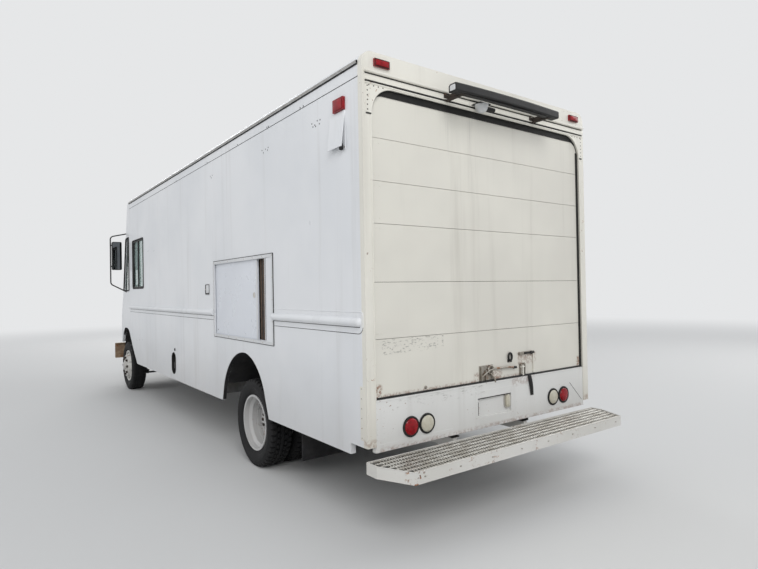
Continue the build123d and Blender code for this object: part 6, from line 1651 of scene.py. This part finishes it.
def fluted(x_range, flutes, bulge):
    """Pressed lens facing -Y: depth = bulge (1 - u^2)(1 - v^2) + 1.5 mm cos(pi flutes u)(1 - v^4), where u
    and v run from -1 to 1 across and up."""
    u, v = np.meshgrid(np.linspace(-1, 1, 8 * flutes + 1), np.linspace(-1, 1, 13), indexing="ij")
    depth = bulge * (1 - u ** 2) * (1 - v ** 2) + 0.0015 * np.cos(np.pi * flutes * u) * (1 - v ** 4)
    x = np.mean(x_range) + u * np.ptp(x_range) / 2
    z = (LAMP_LOW_Z + LAMP_HIGH_Z) / 2 + v * (LAMP_HIGH_Z - LAMP_LOW_Z - 0.006) / 2
    face = np.stack([x, LAMP_FACE_Y - 0.001 - depth, z], -1)
    back = np.stack([x, np.full_like(x, LAMP_FACE_Y + 0.004), z], -1)
    edge = [np.concatenate([side[0, :], side[1:, -1], side[-1, -2::-1], side[-2:0:-1, 0]])
            for side in (face, back)]
    return joined(grid_shape(face, wrap=False), grid_shape(back, wrap=False), grid_shape(np.stack(edge)))


frame_rows = [(*sorted((side * near, side * far)), *FRAME_Y, low_z, high_z)
              for side in (1, -1) for near, far, low_z, high_z in FRAME_SIDES]
put("front_lamp_frames", boxes(*frame_rows), "grille_grey", soften=0.002)
lenses = [fluted(sorted((side * 0.564, side * 0.798)), 13, 0.008) for side in (1, -1)]
put("headlamp_lenses", joined(*lenses), "clear_lens", crease=60)
turn_lenses = [fluted(sorted((side * 0.817, side * 0.892)), 5, 0.004) for side in (1, -1)]
put("turn_lamp_lenses", joined(*turn_lenses), "amber_lens", crease=60)

# %% [markdown]
# Behind the grille's bars stands the radiator's core, a dark sheet of fine fins. The bumper
# is held by round-headed bolts, and two step pads with small teeth lie on its top.

# %% Radiator core and bumper
grille_low, grille_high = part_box("grille")
core_y = grille_high.y
core_fins = [(-0.448, 0.448, core_y + 0.012, core_y + 0.018, grille_low.z + 0.002, grille_high.z - 0.002)]
core_fins += [(-0.440, 0.440, core_y + 0.008, core_y + 0.013, z, z + 0.004)
              for z in np.arange(grille_low.z + 0.012, grille_high.z - 0.010, 0.012)]
put("radiator_core", boxes(*core_fins), "underbody")

bumper_low, bumper_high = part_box("front_bumper")
bumper_bolt = lathe([(0.0, 0.0), (0.016, 0.0), (0.015, 0.004), (0.009, 0.007), (0.0, 0.008)], 18)
bumper_places = [(x, bumper_low.y, z) for x in (-0.36, -0.40, 0.36, 0.40) for z in (0.545, 0.645)]
put("bumper_bolts", set_at(bumper_bolt, "-Y", *bumper_places), "latch_steel")
PAD_X, PAD_THICK = 0.95, 0.0015
pad = plate(round_outline(0.24, 0.050, 0.006), PAD_THICK)
pad_tooth = lathe([(0.004, 0.0), (0.0032, 0.0022), (0.0, 0.0024)], 6)
tooth_places = [(middle_x + x, y, PAD_THICK) for middle_x in (-PAD_X, PAD_X)
                for x in np.arange(-0.11, 0.111, 0.02) for y in (-0.016, 0.0, 0.016)]
pads = joined(repeated(pad, [(-PAD_X, 0, 0), (PAD_X, 0, 0)]), repeated(pad_tooth, tooth_places))
bumper_top = (0, (bumper_low.y + bumper_high.y) / 2, bumper_high.z)
put("bumper_step_pads", repeated(pads, [bumper_top]), "latch_steel")

# %% [markdown]
# ## Cab windows, mirrors and the curb door
# The side windows sit in black rubber too. The driver's one slides, so a bar divides it, and
# the quarter windows follow the nose's taper, so their gaskets lie on a plane turned to
# match. Each gasket is a tube along the window's outline.

# %% Side windows
WINDOW_Y, WINDOW_Z = FRONT_AXLE_Y + 1.043, 2.097
NOSE_TAPER = 0.082  # how much the nose comes in for each metre ahead of the flat side's end
WINDOW_BARS = np.array([  # x from the side, then y and z from the window's middle
    (-0.016, 0.001, -0.014, 0.014, -0.372, 0.372),
    (-0.016, -0.002, 0.310, 0.335, -0.372, 0.372),
    (-0.016, -0.002, -0.335, -0.310, -0.372, 0.372),
    (-0.016, -0.002, -0.335, 0.335, -0.372, -0.350),
    (-0.016, -0.002, -0.335, 0.335, 0.350, 0.372),
])


def rounded(points, reach, steps=6):
    """Outline with its corners rounded off: (1-t)^2 A + 2t(1-t) P + t^2 B between two points near each."""
    corner = np.array(points, float)
    before, after = np.roll(corner, 1, 0) - corner, np.roll(corner, -1, 0) - corner
    start = corner + reach * before / np.linalg.norm(before, axis=1, keepdims=True)
    end = corner + reach * after / np.linalg.norm(after, axis=1, keepdims=True)
    t = np.linspace(0, 1, steps)[None, :, None]
    curve = (1 - t) ** 2 * start[:, None] + 2 * t * (1 - t) * corner[:, None] + t ** 2 * end[:, None]
    return curve.reshape(-1, 2)


def cord(outline, x, radius, taper=0.0):
    """A rubber cord round an outline of (y, z) at an x, which comes in with the nose's taper."""
    y, z = looped(outline)[:, :2].T
    return tube(np.column_stack([x - taper * (NOSE_Y - y), y, z]), radius, 8)


driver_window = round_outline(0.690, 0.758, 0.030) + (WINDOW_Y, WINDOW_Z)
window_rubber = joined(cord(driver_window, SIDE_X + 0.001, 0.010), cord(driver_window, SIDE_X - 0.010, 0.016))
put("driver_window_gasket", window_rubber, "rubber")
window_bars = side_boxes(*(WINDOW_BARS + (0, 0, WINDOW_Y, WINDOW_Y, WINDOW_Z, WINDOW_Z)))
put("driver_window_bars", window_bars, "bar_black", soften=0.002)
quarter_corners = [(NOSE_Y - 0.07, 1.69), (NOSE_Y - 0.07, 2.57), (NOSE_Y - 0.43, 2.57), (NOSE_Y - 0.79, 1.69)]
quarter_rubber = cord(rounded(quarter_corners, 0.05), SIDE_X + 0.002, 0.011, NOSE_TAPER)
put("quarter_window_gaskets", mirrored(quarter_rubber), "rubber")

# %% [markdown]
# The mirrors' glass faces the rear, inside a raised rim. The curb door has a gasket on each
# face of its window, a flat cup to pull it by outside and a bent handle inside, which all ride
# the door.

# %% Mirrors and curb door
mirror_rim = tube(looped(round_outline(0.142, 0.466, 0.030)), 0.004, 8)
mirror_face = plate(round_outline(0.136, 0.460, 0.028), 0.0015)
at_head = (1.335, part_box("mirrors")[1].y, 2.2775)
put("mirror_rims", mirrored(set_at(mirror_rim, "+Y", at_head)), "mirror_black")
# Painted reflection: the mirror glass is dark.
put("mirror_glasses", mirrored(set_at(mirror_face, "+Y", at_head)), mirror_glass)

pane_low, pane_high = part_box("curb_door_glass")
pane_size, pane_middle = pane_high - pane_low, (pane_low + pane_high) / 2
door_pane = round_outline(pane_size.y, pane_size.z, 0.05) + (pane_middle.y, pane_middle.z)
for face_name, face_x, radius in (("outer", DOOR_LOW.x + 0.0005, 0.0045), ("inner", DOOR_HIGH.x, 0.010)):
    put(f"curb_door_gasket_{face_name}", cord(door_pane, face_x, radius), "rubber", body="curb_door")
handle_y = DOOR_HIGH.y - 0.090
cup_place = (DOOR_LOW.x, handle_y, 1.45)
cup_rim = plate(round_outline(0.100, 0.150, 0.030), 0.0030)
cup_dish = plate(round_outline(0.076, 0.126, 0.022), 0.0034)
put("curb_door_cup", set_at(cup_rim, "-X", cup_place), "latch_steel", body="curb_door")
put("curb_door_cup_dish", set_at(cup_dish, "-X", cup_place), "rubber", body="curb_door")
grip = np.array([(0, 1.36), (0.028, 1.375), (0.034, 1.40), (0.034, 1.50), (0.028, 1.525), (0, 1.54)])
path = np.column_stack([DOOR_HIGH.x + grip[:, 0] - 0.004, np.full(6, handle_y), grip[:, 1]])
put("curb_door_handle", tube(path, 0.008, 12), "latch_steel", body="curb_door")

# %% [markdown]
# The wheel openings end in a folded edge with black undercoat behind it. A thin lining
# follows each opening inside the wall: lines up from the feet, then arcs through three
# points, and the nose's taper on the front ones.

# %% Arch linings
def arc_through(first, middle, last, steps=14):
    """Points on the circle through three points, whose centre lies as far from each of them."""
    points = np.array([first, middle, last], float)
    centre = np.linalg.solve(2 * (points[1:] - points[0]), (points[1:] ** 2).sum(1) - (points[0] ** 2).sum())
    angle = np.unwrap(np.arctan2(*(points - centre).T[::-1]))
    turn = np.linspace(angle[0], angle[2], steps)
    return centre + np.linalg.norm(points[0] - centre) * np.column_stack([np.cos(turn), np.sin(turn)])


def lining(axle_y, feet, rear_arc, front_arc):
    """A strip inside the wall along an opening, given as distances behind the axle and heights."""
    line = np.concatenate([feet[:1], arc_through(*rear_arc), arc_through(*front_arc), feet[1:]])
    inwards = np.array([-0.08, 0.70]) - line
    inner = line + 0.0012 * inwards / np.linalg.norm(inwards, axis=1, keepdims=True)
    side_x = SIDE_X - NOSE_TAPER * np.clip(NOSE_Y - axle_y - line[:, 0], 0, None)
    corners = [np.column_stack([side_x - deep, axle_y + edge[:, 0], edge[:, 1]])
               for deep, edge in ((0.004, line), (0.039, line), (0.039, inner), (0.004, inner))]
    return carried(np.stack(corners, 1))


rear_lining = lining(REAR_AXLE_Y, [(0.467, 0.532), (-0.637, 0.532)],
                     ((0.400, 0.700), (0.255, 0.930), (-0.020, 1.060)),
                     ((-0.080, 1.060), (-0.430, 0.920), (-0.591, 0.690)))
front_lining = lining(FRONT_AXLE_Y, [(0.911, 0.532), (-0.598, 0.772)],
                      ((0.590, 0.800), (0.410, 0.965), (0.060, 1.052)),
                      ((-0.090, 1.052), (-0.400, 0.970), (-0.596, 0.776)))
put("arch_linings", mirrored(joined(rear_lining, front_lining)), metals["underbody"])

# %% [markdown]
# ## Roof and underbody
# The roof is laid in sheets across the body, and each seam is a raised batten with rivets
# beside it. A vent with a domed lid stands on a low curb above the cab.

# %% Roof seams and vent
seam_places = np.linspace(NOSE_Y + 0.06, REAR_Y - 0.10, 8)
roof_half = SIDE_X - 0.085
rivet_x = roof_half - 0.02
battens = boxes(*[(-roof_half, roof_half, y - 0.016, y + 0.016, ROOF_Z - SEAT, ROOF_Z + 0.0035)
                  for y in seam_places])
put("roof_battens", battens, "body_white", soften=0.0012)
roof_rivets = [rivet_line((-rivet_x, y + shift, ROOF_Z), (rivet_x, y + shift, ROOF_Z), 0.10, "+Z")
               for y in seam_places[1:-1] for shift in (-0.026, 0.026)]
put("roof_rivets", joined(*roof_rivets), "body_white")
vent_y = NOSE_Y + 1.45
vent_curb = plate(round_outline(0.47, 0.47, 0.03), 0.008)
vent_lid = plate(round_outline(0.42, 0.42, 0.05), 0.014, 0.012)
put("roof_vent_curb", repeated(vent_curb, [(0, vent_y, ROOF_Z - 0.0005)]), "trim_white", soften=0.001)
put("roof_vent_lid", repeated(vent_lid, [(0, vent_y, ROOF_Z + 0.007)]), "body_white", soften=0.002)

# %% [markdown]
# Underneath, clamps hold the axles to their leaf springs, a damper leans between each axle
# and the frame, and bolts show where cross members meet the rails. A damper is two tubes one
# in another, with an eye at each end.

# %% Underbody fittings
SPRING_X, RAIL_X = 0.490, 0.432
AXLE_ROWS = (  # axle, half of the clamp's length, its bolts' foot and top, the damper's reach behind it
    (FRONT_AXLE_Y, 0.056, 0.286, 0.478, 0.30),
    (REAR_AXLE_Y, 0.086, 0.314, 0.585, -0.34),
)
clamp_x = (SPRING_X - 0.045, SPRING_X + 0.045)
damper_x = RAIL_X - 0.062
clamps, dampers = [], []
for axle_y, along, foot_z, top_z, reach in AXLE_ROWS:
    hoop = [(clamp_x[0], foot_z), (clamp_x[0], top_z), (clamp_x[1], top_z), (clamp_x[1], foot_z)]
    for y in (axle_y - along, axle_y + along):
        corners = [(x, y, z) for x, z in hoop]
        clamps += [tube(ends, 0.008, 8) for ends in zip(corners, corners[1:])]
    clamps.append(boxes((SPRING_X - 0.060, SPRING_X + 0.060, axle_y - along - 0.02, axle_y + along + 0.02,
                         foot_z + 0.004, foot_z + 0.016)))
    foot = np.array([damper_x, axle_y + 0.4 * reach, foot_z + 0.05])
    head = np.array([damper_x, axle_y + reach, 0.715])
    middle = foot + 0.55 * (head - foot)
    dampers += [tube([foot, middle], 0.024, 16), tube([middle, head], 0.030, 16)]
    dampers += [tube([end - (0.02, 0, 0), end + (0.062, 0, 0)], 0.014, 12) for end in (foot, head)]
put("spring_clamps", mirrored(joined(*clamps)), metals["rusty_black"])
put("dampers", mirrored(joined(*dampers)), metals["chassis_black"])
rail_low, rail_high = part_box("frame_rails")
rail_bolts = [(RAIL_X, y + shift, z) for y in np.linspace(rail_low.y + 0.35, rail_high.y - 0.30, 12)
              for shift in (-0.03, 0.03) for z in (0.60, 0.69)]
put("rail_bolts", mirrored(set_at(bolt, "+X", *rail_bolts)), metals["rusty_black"])
